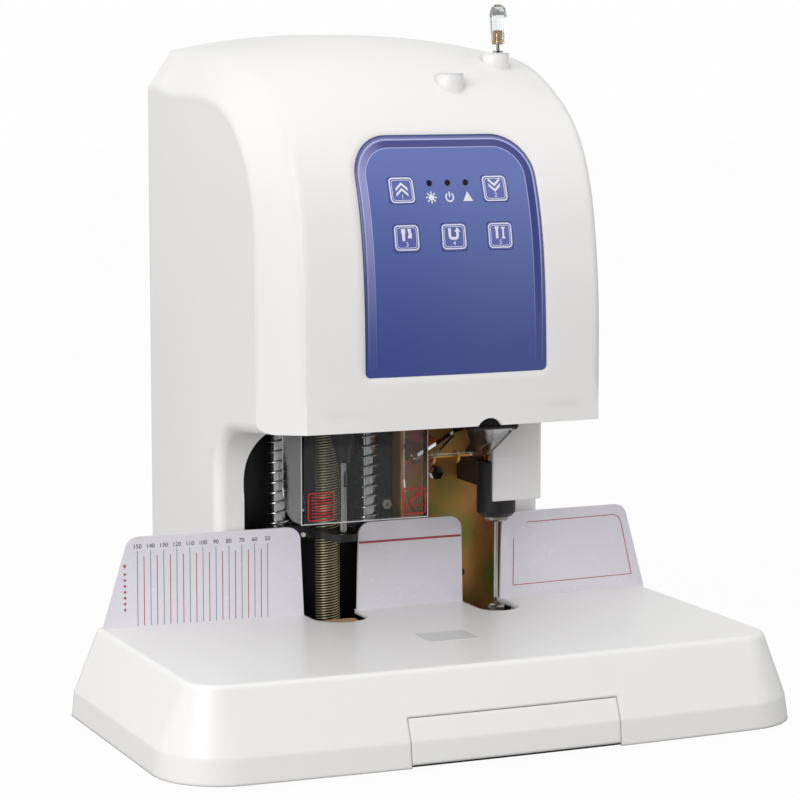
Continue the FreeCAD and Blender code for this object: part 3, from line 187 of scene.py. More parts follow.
def printedOn(piece, target, thick=0.08, lift=0.03, fromAbove=False):
    # A print drawn flat is laid on a node from the front or from above, then given its thickness in
    # millimetres, one value or one for each point.
    axis = 2 if fromAbove else 1
    wrap = piece.modifiers.new("lay", "SHRINKWRAP")
    wrap.target = nodes[target]
    wrap.wrap_method = "PROJECT"
    wrap.use_project_x = False
    wrap.use_project_y, wrap.use_project_z = not fromAbove, fromAbove
    wrap.use_positive_direction, wrap.use_negative_direction = not fromAbove, fromAbove
    piece = baked(piece)
    mesh = piece.data
    co = np.empty(len(mesh.vertices) * 3, np.float32)
    mesh.vertices.foreach_get("co", co)
    outward = np.zeros(3)
    outward[axis] = mm if fromAbove else -mm
    back = co.reshape(-1, 3) + outward * lift
    front = back + outward * np.reshape(thick, (-1, 1))
    count = len(front)
    flat = [list(p.vertices) for p in mesh.polygons]
    edges = {}
    for face in flat:
        for a, b in zip(face, face[1:] + face[:1]):
            edges[(a, b)] = True
    rim = [(a, b) for a, b in edges if (b, a) not in edges]
    faces = flat + [[v + count for v in reversed(f)] for f in flat] + [[b, a, a + count, b + count] for a, b in rim]
    bpy.data.objects.remove(piece)
    return fromFaces(mesh.name, np.concatenate([front, back]), faces)


def dense(loop, step=1.5, closed=True):  # the same line with points no further apart than step
    ends = np.roll(loop, -1, 0) if closed else loop[1:]
    made = [a + (b - a) * np.linspace(0, 1, max(int(np.hypot(*(b - a)) / step), 1) + 1)[:-1, None]
            for a, b in zip(loop, ends)]
    return np.concatenate(made if closed else made + [loop[-1:]])


def roundedLoop(x0, x1, z0, z1, radius, steps=6):
    # Corner arcs of a rounded rectangle, in order round it.
    quarter = np.linspace(0, np.pi / 2, steps)
    corners = [(x1 - radius, z1 - radius, 0), (x0 + radius, z1 - radius, 1), (x0 + radius, z0 + radius, 2),
               (x1 - radius, z0 + radius, 3)]
    arcs = []
    for cx, cz, k in corners:
        turn = quarter + k * np.pi / 2
        arcs.append(np.stack([cx + radius * np.cos(turn), cz + radius * np.sin(turn)], -1))
    return np.concatenate(arcs)


def lineLoop(loop, width):
    # Two loops, the drawn one and one inside it, as a closed band of four-sided faces.
    outward = np.roll(loop, -1, 0) - np.roll(loop, 1, 0)
    outward = np.stack([outward[:, 1], -outward[:, 0]], -1)
    outward /= np.linalg.norm(outward, axis=1)[:, None]
    inner = loop - outward * width
    return np.concatenate([loop, inner]), [[k, (k + 1) % len(loop), (k + 1) % len(loop) + len(loop), k + len(loop)]
                                           for k in range(len(loop))]


def artwork(name, shapes, startAt, level=False):
    # Flat shapes in millimetres, each (points, faces), gathered as one piece, upright or level.
    points, faces, count = [], [], 0
    for shape, shapeFaces in shapes:
        across = np.full(len(shape), startAt * mm)
        points.append(np.stack([shape[:, 0] * mm, shape[:, 1] * mm, across] if level
                               else [shape[:, 0] * mm, across, shape[:, 1] * mm], -1))
        faces += [[v + count for v in face] for face in shapeFaces]
        count += len(shape)
    mesh = bpy.data.meshes.new(name)
    mesh.from_pydata(np.concatenate(points).tolist(), [], faces)
    piece = bpy.data.objects.new(name, mesh)
    bpy.context.scene.collection.objects.link(piece)
    return piece


def outlineShape(points):  # one closed outline, filled
    points = np.asarray(points, float)
    return points, [list(range(len(points)))]


def bandShape(points, width):  # an open line with a width
    points = np.asarray(points, float)
    ahead = np.gradient(points, axis=0)
    side = np.stack([-ahead[:, 1], ahead[:, 0]], -1)
    side /= np.linalg.norm(side, axis=1)[:, None]
    both = np.concatenate([points + side * width / 2, points - side * width / 2])
    n = len(points)
    return both, [[k, k + 1, k + 1 + n, k + n] for k in range(n - 1)]


def arcLine(x, z, radius, start, end, steps=16):
    turn = np.radians(np.linspace(start, end, steps))
    return np.stack([x + radius * np.cos(turn), z + radius * np.sin(turn)], -1)


# ---- finishes ----

finishes = {
    # ABS, injection moulded in white: an even colour, satin gloss and soft edges
    "mouldedAbs": {"colour": "#f1f0ef", "colourTwo": "#eeedec", "patchMm": 90, "grainMm": 0.9,
                   "roughness": (0.30, 0.38), "bump": 0.06, "bumpMm": 0.02, "edgeMm": 9.0,
                   "edgeAboveMm": (232, 250), "shader": {"IOR": 1.53}},
    # the base tray: the same ABS, its rim rounded by about 3 mm
    "mouldedAbsTray": {"colour": "#f1f0ef", "colourTwo": "#eeedec", "patchMm": 90, "grainMm": 0.9,
                       "roughness": (0.30, 0.38), "bump": 0.06, "bumpMm": 0.02, "edgeMm": 3.0,
                       "shader": {"IOR": 1.53}},
    # the same ABS on thin mouldings, whose edges are only just broken
    "mouldedAbsFine": {"colour": "#f1f0ef", "colourTwo": "#eeedec", "patchMm": 90, "grainMm": 0.9,
                       "roughness": (0.30, 0.38), "bump": 0.06, "bumpMm": 0.02, "edgeMm": 1.5,
                       "shader": {"IOR": 1.53}},
    # steel sheet with black powder coat: dull, with the orange-peel of the coat about 1 mm wide
    "powderCoatedSteel": {"colour": "#1b1b1d", "colourTwo": "#232325", "patchMm": 30, "grainMm": 1.0,
                          "roughness": (0.45, 0.60), "bump": 0.3, "bumpMm": 0.05, "shader": {"IOR": 1.5}},
    # galvanised sheet: light grey metal with cloudy spangle about 12 mm wide
    "galvanisedSheet": {"colour": "#b4b7ba", "colourTwo": "#9a9da0", "patchMm": 12, "grainMm": 2.0,
                        "roughness": (0.32, 0.48), "bump": 0.1, "bumpMm": 0.02, "shader": {"Metallic": 1.0}},
    # moulded rubber: near black and dull
    "mouldedRubber": {"colour": "#161616", "colourTwo": "#202020", "patchMm": 8, "grainMm": 0.6,
                      "roughness": (0.75, 0.9), "bump": 0.4, "bumpMm": 0.06, "shader": {"IOR": 1.52}},
    # smoked lens of a lamp that is off
    "smokedLens": {"colour": "#0b0b12", "colourTwo": "#101020", "patchMm": 2, "grainMm": 0.5,
                   "roughness": (0.12, 0.2), "bump": 0.02, "bumpMm": 0.01, "shader": {"IOR": 1.58}},
    # glass-filled nylon, moulded in black: fine grain and low gloss
    "blackNylon": {"colour": "#131314", "colourTwo": "#1b1b1c", "patchMm": 15, "grainMm": 0.5,
                   "roughness": (0.38, 0.52), "bump": 0.25, "bumpMm": 0.03, "shader": {"IOR": 1.53}},
    # brass, turned
    "turnedBrass": {"colour": "#c9a45c", "colourTwo": "#b58f4c", "patchMm": 10, "grainMm": 0.8,
                    "roughness": (0.24, 0.36), "bump": 0.1, "bumpMm": 0.02, "stretch": (0.3, 0.3, 3.0),
                    "shader": {"Metallic": 1.0}},
    # bright zinc with a clear chromate on the frame's nut
    "brightZinc": {"colour": "#e8e3d8", "colourTwo": "#d8d3c8", "patchMm": 5, "grainMm": 0.6,
                   "roughness": (0.22, 0.34), "bump": 0.05, "bumpMm": 0.01, "shader": {"Metallic": 0.35}},
    # ground and hard-chromed bar, and the chromed bolt: mirror-like, with hair lines round it
    "groundChrome": {"colour": "#d7d8da", "colourTwo": "#cfd0d2", "patchMm": 60, "grainMm": 1.2,
                     "roughness": (0.06, 0.12), "bump": 0.03, "bumpMm": 0.01, "stretch": (0.2, 0.2, 4.0),
                     "shader": {"Metallic": 1.0}},
    # tan polyamide pad that the drill runs into, scuffed
    "tanPolyamide": {"colour": "#c9a27c", "colourTwo": "#b78e68", "patchMm": 6, "grainMm": 0.7,
                     "roughness": (0.5, 0.65), "bump": 0.3, "bumpMm": 0.05, "shader": {"IOR": 1.53}},
    # turned tool steel
    "turnedSteel": {"colour": "#b9b4ac", "colourTwo": "#a39d94", "patchMm": 8, "grainMm": 0.9,
                    "roughness": (0.2, 0.32), "bump": 0.12, "bumpMm": 0.02, "stretch": (0.3, 0.3, 4.0),
                    "shader": {"Metallic": 1.0}},
    # cast aluminium, milled on its faces
    "milledAluminium": {"colour": "#a9abae", "colourTwo": "#98999c", "patchMm": 20, "grainMm": 1.5,
                        "roughness": (0.3, 0.45), "bump": 0.15, "bumpMm": 0.03, "stretch": (0.25, 3.0, 1.0),
                        "shader": {"Metallic": 1.0}},
    # blackened steel: dark oxide with a dim metal sheen
    "blackenedSteel": {"colour": "#1d1d1f", "colourTwo": "#2a2a2d", "patchMm": 12, "grainMm": 0.8,
                       "roughness": (0.26, 0.4), "bump": 0.1, "bumpMm": 0.02, "shader": {"Metallic": 0.6}},
    # ground drill steel
    "groundSteel": {"colour": "#c4c4c4", "colourTwo": "#a9a7a3", "patchMm": 10, "grainMm": 0.8,
                    "roughness": (0.14, 0.24), "bump": 0.06, "bumpMm": 0.01, "stretch": (1, 1, 4.0),
                    "shader": {"Metallic": 1.0}},
    # spring wire, drawn: lines run along the wire
    "drawnWire": {"colour": "#bdbdbb", "colourTwo": "#9d9c98", "patchMm": 4, "grainMm": 0.5,
                  "roughness": (0.16, 0.28), "bump": 0.05, "bumpMm": 0.01, "shader": {"Metallic": 1.0}},
    # rod warmed by the heater: steel with a straw and brown temper tint
    "temperedSteel": {"colour": "#b7a27c", "colourTwo": "#84705a", "patchMm": 18, "grainMm": 0.9,
                      "roughness": (0.12, 0.22), "bump": 0.05, "bumpMm": 0.01, "stretch": (0.3, 0.3, 4.0),
                      "shader": {"Metallic": 1.0}},
    # white nylon screw
    "whiteNylon": {"colour": "#e9e6dc", "colourTwo": "#dfdbcf", "patchMm": 3, "grainMm": 0.4,
                   "roughness": (0.35, 0.45), "bump": 0.1, "bumpMm": 0.02, "shader": {"IOR": 1.53}},
    # polycarbonate foil on a white sheet: slightly lilac and glossy
    "whiteFoil": {"colour": "#e3e0e8", "colourTwo": "#dedbe4", "patchMm": 50, "grainMm": 3.0,
                  "roughness": (0.24, 0.28), "bump": 0.02, "bumpMm": 0.01, "shader": {"IOR": 1.58}},
    # screen-print inks: thin, even and a little duller than the foil
    "whiteInk": {"colour": "#e6e9f4", "colourTwo": "#dfe3f0", "patchMm": 4, "grainMm": 0.5,
                 "roughness": (0.4, 0.5), "bump": 0.05, "bumpMm": 0.01, "shader": {"IOR": 1.5}},
    "redInk": {"colour": "#b5434c", "colourTwo": "#a93c46", "patchMm": 4, "grainMm": 0.5,
               "roughness": (0.4, 0.5), "bump": 0.05, "bumpMm": 0.01, "shader": {"IOR": 1.5}},
    "tealInk": {"colour": "#6f9d99", "colourTwo": "#67948f", "patchMm": 4, "grainMm": 0.5,
                "roughness": (0.4, 0.5), "bump": 0.05, "bumpMm": 0.01, "shader": {"IOR": 1.5}},
    "darkInk": {"colour": "#3b3d45", "colourTwo": "#34363d", "patchMm": 4, "grainMm": 0.5,
                "roughness": (0.4, 0.5), "bump": 0.05, "bumpMm": 0.01, "shader": {"IOR": 1.5}},
    # red film ink on the clear hood
    "redFilm": {"colour": "#c22a2e", "colourTwo": "#b52529", "patchMm": 4, "grainMm": 0.5,
                "roughness": (0.3, 0.4), "bump": 0.05, "bumpMm": 0.01, "shader": {"IOR": 1.5}},
    # bare plate of satin aluminium foil, lacquered pale grey
    "satinPlate": {"colour": "#dcdcdb", "colourTwo": "#d3d3d3", "patchMm": 12, "grainMm": 0.8,
                   "roughness": (0.3, 0.4), "bump": 0.06, "bumpMm": 0.01, "stretch": (0.1, 4.0, 1.0),
                   "shader": {"IOR": 1.5}},
    # paper sticker under a clear film
    "paperLabel": {"colour": "#f2eff0", "colourTwo": "#eeebec", "patchMm": 10, "grainMm": 0.8,
                   "roughness": (0.3, 0.4), "bump": 0.05, "bumpMm": 0.01, "shader": {"IOR": 1.5}},
    "blueLabel": {"colour": "#b9c3dd", "colourTwo": "#c9d0e4", "patchMm": 3, "grainMm": 0.8,
                  "roughness": (0.3, 0.4), "bump": 0.05, "bumpMm": 0.01, "shader": {"IOR": 1.5}},
    # clear acrylic sheet, polished: the grain is only a trace of handling
    "clearAcrylic": {"colour": "#f4f6f6", "colourTwo": "#eef1f1", "patchMm": 60, "grainMm": 8.0,
                     "roughness": (0.015, 0.05), "bump": 0.02, "bumpMm": 0.02,
                     "shader": {"IOR": 1.49, "Transmission Weight": 1.0, "Specular IOR Level": 0.25}},
    # sawn and flamed edge of the acrylic, frosted white; the same colour is painted as a highlight down the bent
    # corners
    "frostedEdgeAndHighlight": {"colour": "#cfcfd6", "colourTwo": "#bdbdc6", "patchMm": 20, "grainMm": 0.8,
                    "roughness": (0.2, 0.3), "bump": 0.05, "bumpMm": 0.01, "shader": {"IOR": 1.49}},
    # clear polystyrene knob with cut facets
    "clearStyrene": {"colour": "#f3f5f5", "colourTwo": "#edf0f0", "patchMm": 6, "grainMm": 4.0,
                     "roughness": (0.01, 0.04), "bump": 0.02, "bumpMm": 0.02,
                     "shader": {"IOR": 1.59, "Transmission Weight": 1.0}},
}
finish = {name: makeFinish(name, look) for name, look in finishes.items()}


def yellowChromate():
    # Steel plate with yellow zinc passivation: gold with clouds of pink and green, about 50 mm wide,
    # from the film's thickness, and faint rolling lines.
    look = {"cloudMm": 48, "lineMm": 1.2, "lineStretch": 0.1, "roughness": (0.3, 0.45), "metal": 0.55,
            "bump": 0.1, "bumpMm": 0.02,
            "bands": [(0.27, "#7f9a48"), (0.39, "#c99c50"), (0.5, "#db9f5c"), (0.58, "#e59468"), (0.7, "#d0806e")]}
    made = bpy.data.materials.new("yellowChromate")
    made.use_nodes = True
    tree = made.node_tree
    shader = tree.nodes["Principled BSDF"]
    place = addNode(tree, "ShaderNodeTexCoord").outputs["Object"]
    cloud = addNode(tree, "ShaderNodeTexNoise", {"Vector": place, "Scale": 1 / (look["cloudMm"] * mm), "Detail": 1.5,
                                                 "Roughness": 0.45, "Distortion": 0.4})
    ramp = addNode(tree, "ShaderNodeValToRGB", {0: cloud.outputs[0]})
    while len(ramp.color_ramp.elements) < len(look["bands"]):
        ramp.color_ramp.elements.new(0.5)
    for element, (at, colour) in zip(ramp.color_ramp.elements, look["bands"]):
        element.position = at
        element.color = linear(colour)
    stretched = addNode(tree, "ShaderNodeMapping", {"Vector": place, "Scale": (1, 1, look["lineStretch"])})
    lines = addNode(tree, "ShaderNodeTexNoise", {"Vector": stretched.outputs[0], "Scale": 1 / (look["lineMm"] * mm),
                                                 "Detail": 2.0})
    gloss = addNode(tree, "ShaderNodeMapRange", {"Value": lines.outputs[0], "To Min": look["roughness"][0],
                                                 "To Max": look["roughness"][1]})
    bump = addNode(tree, "ShaderNodeBump", {"Height": lines.outputs[0], "Strength": look["bump"],
                                            "Distance": look["bumpMm"] * mm})
    tree.links.new(ramp.outputs[0], shader.inputs["Base Color"])
    tree.links.new(gloss.outputs[0], shader.inputs["Roughness"])
    tree.links.new(bump.outputs[0], shader.inputs["Normal"])
    shader.inputs["Metallic"].default_value = look["metal"]
    return made


def printedPanel(name, top, bottom, leftSideLightTop=None):
    # Polycarbonate foil printed from behind: blue-violet that darkens down the panel, under a satin face. Given a
    # colour for the left side, the left side, up to the corner, is painted in it: painted light and shade, as light
    # falls on that side.
    look = {"belowMm": 10, "underTopMm": 20, "cornerFromMm": 273, "cornerToMm": 335, "grainMm": 0.7,
            "roughness": (0.2, 0.3), "bump": 0.05, "bumpMm": 0.01}
    low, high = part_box("control_panel")
    made = bpy.data.materials.new(name)
    made.use_nodes = True
    tree = made.node_tree
    shader = tree.nodes["Principled BSDF"]
    place = addNode(tree, "ShaderNodeTexCoord").outputs["Object"]
    height = addNode(tree, "ShaderNodeSeparateXYZ", {0: place}).outputs[2]
    share = addNode(tree, "ShaderNodeMapRange", {"Value": height, "From Min": low.z - look["belowMm"] * mm,
                                                 "From Max": high.z - look["underTopMm"] * mm},
                    interpolation_type="SMOOTHSTEP")
    tint = addNode(tree, "ShaderNodeMix", {0: share.outputs[0], 6: linear(bottom), 7: linear(top)}, data_type="RGBA")
    # painted light and shade: the left side takes its own lit or shaded tone, running round to the top
    if leftSideLightTop:
        # height plus twice the place across grows from the left side round to the top
        across = addNode(tree, "ShaderNodeSeparateXYZ", {0: place}).outputs[0]
        slanted = addNode(tree, "ShaderNodeMath", {0: across, 1: 2.0, 2: height}, operation="MULTIPLY_ADD")
        side = addNode(tree, "ShaderNodeMapRange", {"Value": slanted.outputs[0], "From Min": look["cornerFromMm"] * mm,
                                                    "From Max": look["cornerToMm"] * mm})
        lit = addNode(tree, "ShaderNodeMix", {0: share.outputs[0], 6: linear(bottom), 7: linear(leftSideLightTop)},
                      data_type="RGBA")
        tint = addNode(tree, "ShaderNodeMix", {0: side.outputs[0], 6: lit.outputs[2], 7: tint.outputs[2]},
                       data_type="RGBA")
    grain = addNode(tree, "ShaderNodeTexNoise", {"Vector": place, "Scale": 1 / (look["grainMm"] * mm), "Detail": 2.0})
    gloss = addNode(tree, "ShaderNodeMapRange", {"Value": grain.outputs[0], "To Min": look["roughness"][0],
                                                 "To Max": look["roughness"][1]})
    bump = addNode(tree, "ShaderNodeBump", {"Height": grain.outputs[0], "Strength": look["bump"],
                                            "Distance": look["bumpMm"] * mm})
    tree.links.new(tint.outputs[2], shader.inputs["Base Color"])
    tree.links.new(gloss.outputs[0], shader.inputs["Roughness"])
    tree.links.new(bump.outputs[0], shader.inputs["Normal"])
    shader.inputs["IOR"].default_value = 1.58
    return made


finish["yellowChromate"] = yellowChromate()
finish["panelFoil"] = printedPanel("panelFoil", "#5d6db0", "#414e92")
# painted light on the bead: a shaded outer band, a painted highlight on the crest and the inner line, and a slope
# painted dark along the top and light down the left side
finish["rimShadeFoil"] = printedPanel("rimShadeFoil", "#62659a", "#3f4888", "#54568f")
finish["rimHighlightFoil"] = printedPanel("rimHighlightFoil", "#a9aedd", "#46528f", "#b3b6e6")
finish["rimSlopeLightShadeFoil"] = printedPanel("rimSlopeLightShadeFoil", "#3f4586", "#414e92", "#8f92cc")
finish["keyFoil"] = printedPanel("keyFoil", "#5e68b2", "#5058a4")

dress(finish["mouldedAbs"], "housing", "column_skirt")
dress(finish["mouldedAbsTray"], "base_tray", "scrap_drawer")
dress(finish["mouldedAbsFine"], "rivet_cover", "rear_cover")
dress(finish["powderCoatedSteel"], "base_plate", "inner_frame", "lower_bed", "cover_rod")
dress(finish["galvanisedSheet"], "drawer_rails")
dress(finish["mouldedRubber"], "foot_front_left", "foot_front_right", "foot_rear_left", "foot_rear_right")
dress(finish["panelFoil"], "control_panel")
dress(finish["keyFoil"], "key_raise", "key_lower", "key_drill", "key_reset", "key_rivet")
dress(finish["smokedLens"], "led_preheat", "led_power", "led_alarm")
dress(finish["blackNylon"], "power_inlet", "switch_frame", "switch_rocker", "fuse_holder", "press_foot",
      "rivet_block")
dress(finish["turnedBrass"], "inlet_pins", "screw_nut")
dress(finish["yellowChromate"], "zinc_plate", "flap_bracket")
dress(finish["brightZinc"], "frame_nut")
dress(finish["groundChrome"], "guide_column_left", "guide_column_right", "frame_bolt")
dress(finish["tanPolyamide"], "drill_pad")
dress(finish["turnedSteel"], "lower_die", "upper_die")
dress(finish["milledAluminium"], "carriage", "rivet_guide")
dress(finish["blackenedSteel"], "drill_motor", "spindle_drive", "drill_chuck")
dress(finish["groundSteel"], "drill_bit", "needle")
dress(finish["whiteNylon"], "press_screw_left", "press_screw_right")
dress(finish["temperedSteel"], "rivet_piston")
dress(finish["clearStyrene"], "needle_knob")
dress(finish["whiteFoil"], "ruler_guard", "height_guard", "notice_guard")
dress(finish["clearAcrylic"], "drill_hood", "rivet_flap")
print("finishes made:", len(finish))


# ---- lead screw with its four-start thread ----

def threadSteel(x, y, root, crest):
    # Yellow-passivated rolled thread: bright where the nut polishes the crests, olive grease down in the roots.
    look = {"smearMm": 12, "greaseDark": "#2c2817", "grease": "#4a4326", "crest": "#d8cfae", "metal": 0.75,
            "roughness": 0.3}
    made = bpy.data.materials.new("greasedScrewSteel")
    made.use_nodes = True
    tree = made.node_tree
    shader = tree.nodes["Principled BSDF"]
    place = addNode(tree, "ShaderNodeTexCoord").outputs["Object"]
    offAxis = addNode(tree, "ShaderNodeMapping", {"Vector": place, "Location": (-x, -y, 0), "Scale": (1, 1, 0)})
    radius = addNode(tree, "ShaderNodeVectorMath", {0: offAxis.outputs[0]}, operation="LENGTH").outputs["Value"]
    share = addNode(tree, "ShaderNodeMapRange", {"Value": radius, "From Min": root, "From Max": crest})
    smear = addNode(tree, "ShaderNodeTexNoise", {"Vector": place, "Scale": 1 / (look["smearMm"] * mm), "Detail": 2.0})
    grease = addNode(tree, "ShaderNodeMix", {0: smear.outputs[0], 6: linear(look["greaseDark"]),
                                             7: linear(look["grease"])}, data_type="RGBA")
    tint = addNode(tree, "ShaderNodeMix", {0: share.outputs[0], 6: grease.outputs[2], 7: linear(look["crest"])},
                   data_type="RGBA")
    tree.links.new(tint.outputs[2], shader.inputs["Base Color"])
    shader.inputs["Metallic"].default_value = look["metal"]
    shader.inputs["Roughness"].default_value = look["roughness"]
    return made


def screwThread():
    size = {"pitchMm": 2.0, "starts": 4, "depthMm": 1.1, "aroundSteps": 48, "perRib": 12, "greaseShare": 0.75,
            "polishMm": 0.05}
    low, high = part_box("lead_screw")
    radius = (high.x - low.x) / 2
    x, y = (low.x + high.x) / 2, (low.y + high.y) / 2
    rows = int((high.z - low.z) / (size["pitchMm"] * mm) * size["perRib"])
    z, turn = np.meshgrid(np.linspace(low.z, high.z, rows), np.linspace(0, 2 * np.pi, size["aroundSteps"], False),
                          indexing="ij")
    # radius falls and rises once per pitch, and the ribs climb by all starts in one turn
    phase = (z / (size["pitchMm"] * mm) - size["starts"] * turn / (2 * np.pi)) % 1.0
    wave = np.clip(np.abs(phase - 0.5) * 5 - 0.6, 0, 1)
    r = radius - size["depthMm"] * mm * wave
    points = np.stack([x + r * np.cos(turn), y + r * np.sin(turn), z], -1)
    piece = fromGrid("screwThread", points, wrap=True, caps=True, sharpAngle=60)
    steel = threadSteel(x, y, radius - size["greaseShare"] * size["depthMm"] * mm, radius - size["polishMm"] * mm)
    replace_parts(finished(piece, steel, "screw"), "lead_screw")


screwThread()


# ---- press springs ----

def pressSpring(side):
    size = {"pitchMm": 8.0, "wireMm": 0.85, "perTurn": 28, "sides": 10, "groundTurns": 0.8}
    node = "spring_" + side
    low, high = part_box(node)
    x, y = (low.x + high.x) / 2, (low.y + high.y) / 2
    wire = size["wireMm"] * mm
    radius = (high.x - low.x) / 2 - wire
    length = high.z - low.z - 2 * wire
    turns = length / (size["pitchMm"] * mm) + 2 * size["groundTurns"] * 0.8
    t = np.linspace(0, 1, int(turns * size["perTurn"]))
    # height grows evenly, and eases at both ends where the coils close
    share = size["groundTurns"] / turns
    slope = np.clip(t / share, 0.12, 1) * np.clip((1 - t) / share, 0.12, 1)
    height = np.concatenate([[0], np.cumsum((slope[1:] + slope[:-1]) / 2)])
    z = low.z + wire + length * height / height[-1]
    turn = 2 * np.pi * turns * t
    path = np.stack([x + radius * np.cos(turn), y + radius * np.sin(turn), z], -1)
    piece = tubeAlong("pressSpring" + side.capitalize(), path, wire, size["sides"])
    finished(piece, finish["drawnWire"], "carriage")
    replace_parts(piece, node)
    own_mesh(piece)


for side in ("left", "right"):
    pressSpring(side)
print("drive pieces made")


# ---- control panel: bead, key borders, icons and lamp marks ----

panelSize = {"startY": -130.0, "keyHighX": 36.2, "keyLowX": 36.3, "rowHigh": 391.0, "rowLow": 358.0,
             "lampX": 14.1, "lampZ": 395.5, "lampIconDrop": 9.8}


def keyPrint(name, node, body, x, z, icon, number):
    size = {"border": 9.2, "borderLine": 0.95, "inner": 7.55, "innerLine": 0.4, "corner": 2.4, "iconUp": 2.0,
            "numberDown": 6.0, "numberHeight": 3.2, "lean": 0.955, "up": 0.1}
    b, n, r = size["border"], size["inner"], size["corner"]
    shapes = [lineLoop(dense(roundedLoop(x - b, x + b, z - b, z + b, r + 0.8)), size["borderLine"]),
              lineLoop(dense(roundedLoop(x - n, x + n, z - n, z + n, r)), size["innerLine"])]
    shapes += [(points + [x, z + size["iconUp"]], faces) for points, faces in icon]
    # the key leans back with the face, so its heights shrink by the cosine of the lean
    shapes = [((points - [x, z]) * [1, size["lean"]] + [x, z + size["up"]], faces) for points, faces in shapes]
    piece = printedOn(artwork(name, shapes, panelSize["startY"]), node, lift=0.06)
    finished(piece, finish["whiteInk"], body)
    mark = digits(name + "Number", str(number), x, z - size["numberDown"], size["numberHeight"], panelSize["startY"])
    finished(printedOn(mark, node, lift=0.06), finish["whiteInk"], body)


def digits(name, text, x, z, height, startAt):
    # Plain numbers, centred on x, as flat shapes in the XZ plane.
    curve = bpy.data.curves.new(name, "FONT")
    curve.body = text
    curve.size = height / 0.7 * mm
    curve.align_x = "CENTER"
    piece = bpy.data.objects.new(name, curve)
    bpy.context.scene.collection.objects.link(piece)
    mesh = bpy.data.meshes.new_from_object(piece.evaluated_get(bpy.context.evaluated_depsgraph_get()))
    bpy.data.objects.remove(piece)
    mesh.transform(Matrix.Translation((x * mm, startAt * mm, z * mm)) @ Matrix.Rotation(math.pi / 2, 4, "X"))
    mesh.name = name
    made = bpy.data.objects.new(name, mesh)
    bpy.context.scene.collection.objects.link(made)
    return made


def chevrons(direction):
    half, rise, wide = 4.6, 4.2, 2.0
    made = []
    for shift in (-2.4, 1.6):
        line = np.array([(-half, -rise / 2), (0, rise / 2), (half, -rise / 2)]) * [1, direction] + [0, shift]
        lower = line - [0, wide * direction]
        made.append((np.concatenate([line, lower]), [[0, 1, 4, 3], [1, 2, 5, 4]]))
    return made


drillIcon = [outlineShape([(-4.0, 4.6), (-0.8, 4.6), (-0.8, 1.6), (-1.3, 0.4), (-1.3, -3.8), (-2.4, -4.6),
                           (-3.5, -3.8), (-3.5, 0.4), (-4.0, 1.6)]),
             outlineShape([(0.8, 4.6), (3.4, 4.6), (3.4, 2.0), (3.9, 1.4), (3.9, -2.4), (0.9, -2.4), (0.9, -1.0),
                           (1.6, 0.6)])]
resetIcon = [bandShape([(-3.2, 4.4), (-3.2, -1.6), (-2.6, -2.9), (-1.4, -3.3), (1.0, -3.3), (2.2, -2.9), (2.8, -1.6),
                        (2.8, 1.8)], 2.0),
             outlineShape([(0.4, 1.6), (5.2, 1.6), (2.8, 4.8)])]
rivetIcon = [outlineShape([(-4.2, 4.6), (-0.8, 4.6), (-0.8, 3.2), (-1.5, 2.6), (-1.5, -4.2), (-3.5, -4.2),
                           (-3.5, 2.6), (-4.2, 3.2)]),
             outlineShape([(1.1, 4.2), (3.9, 4.2), (3.9, 3.0), (3.2, 2.4), (3.2, -3.0), (3.9, -3.4), (3.9, -4.4),
                           (1.1, -4.4), (1.1, -3.4), (1.8, -3.0), (1.8, 2.4), (1.1, 3.0)])]
keyPrint("raiseKeyPrint", "key_raise", "raise_key", -panelSize["keyHighX"], panelSize["rowHigh"], chevrons(1), 1)
keyPrint("lowerKeyPrint", "key_lower", "lower_key", panelSize["keyHighX"], panelSize["rowHigh"], chevrons(-1), 2)
keyPrint("drillKeyPrint", "key_drill", "drill_key", -panelSize["keyLowX"], panelSize["rowLow"], drillIcon, 3)
keyPrint("resetKeyPrint", "key_reset", "reset_key", 0.0, panelSize["rowLow"], resetIcon, 4)
keyPrint("rivetKeyPrint", "key_rivet", "rivet_key", panelSize["keyLowX"], panelSize["rowLow"], rivetIcon, 5)


def lampPrints():
    # A sun for the heater, a ring with a bar for power and a filled triangle for a fault.
    size = {"sun": 2.3, "rayIn": 2.7, "rayOut": 4.1, "ring": 2.9, "line": 1.1, "half": 3.8, "high": 3.8,
            "low": 3.0}
    x, z = panelSize["lampX"], panelSize["lampZ"] - panelSize["lampIconDrop"]
    turns = np.arange(8) * np.pi / 4
    ends = np.array([size["rayIn"], size["rayOut"]])
    rays = [bandShape(np.stack([-x + ends * c, z + ends * s], -1), size["line"])
            for c, s in zip(np.cos(turns), np.sin(turns))]
    shapes = [outlineShape(arcLine(-x, z, size["sun"], 0, 360, 17)[:-1])] + rays
    shapes += [bandShape(arcLine(0, z, size["ring"], 125, 415, 20), size["line"]),
               bandShape([(0, z + size["high"]), (0, z)], size["line"])]
    shapes += [outlineShape([(x - size["half"], z - size["low"]), (x + size["half"], z - size["low"]),
                             (x, z + size["high"])])]
    piece = printedOn(artwork("lampPrints", shapes, panelSize["startY"]), "control_panel")
    finished(piece, finish["whiteInk"], "frame")


lampPrints()


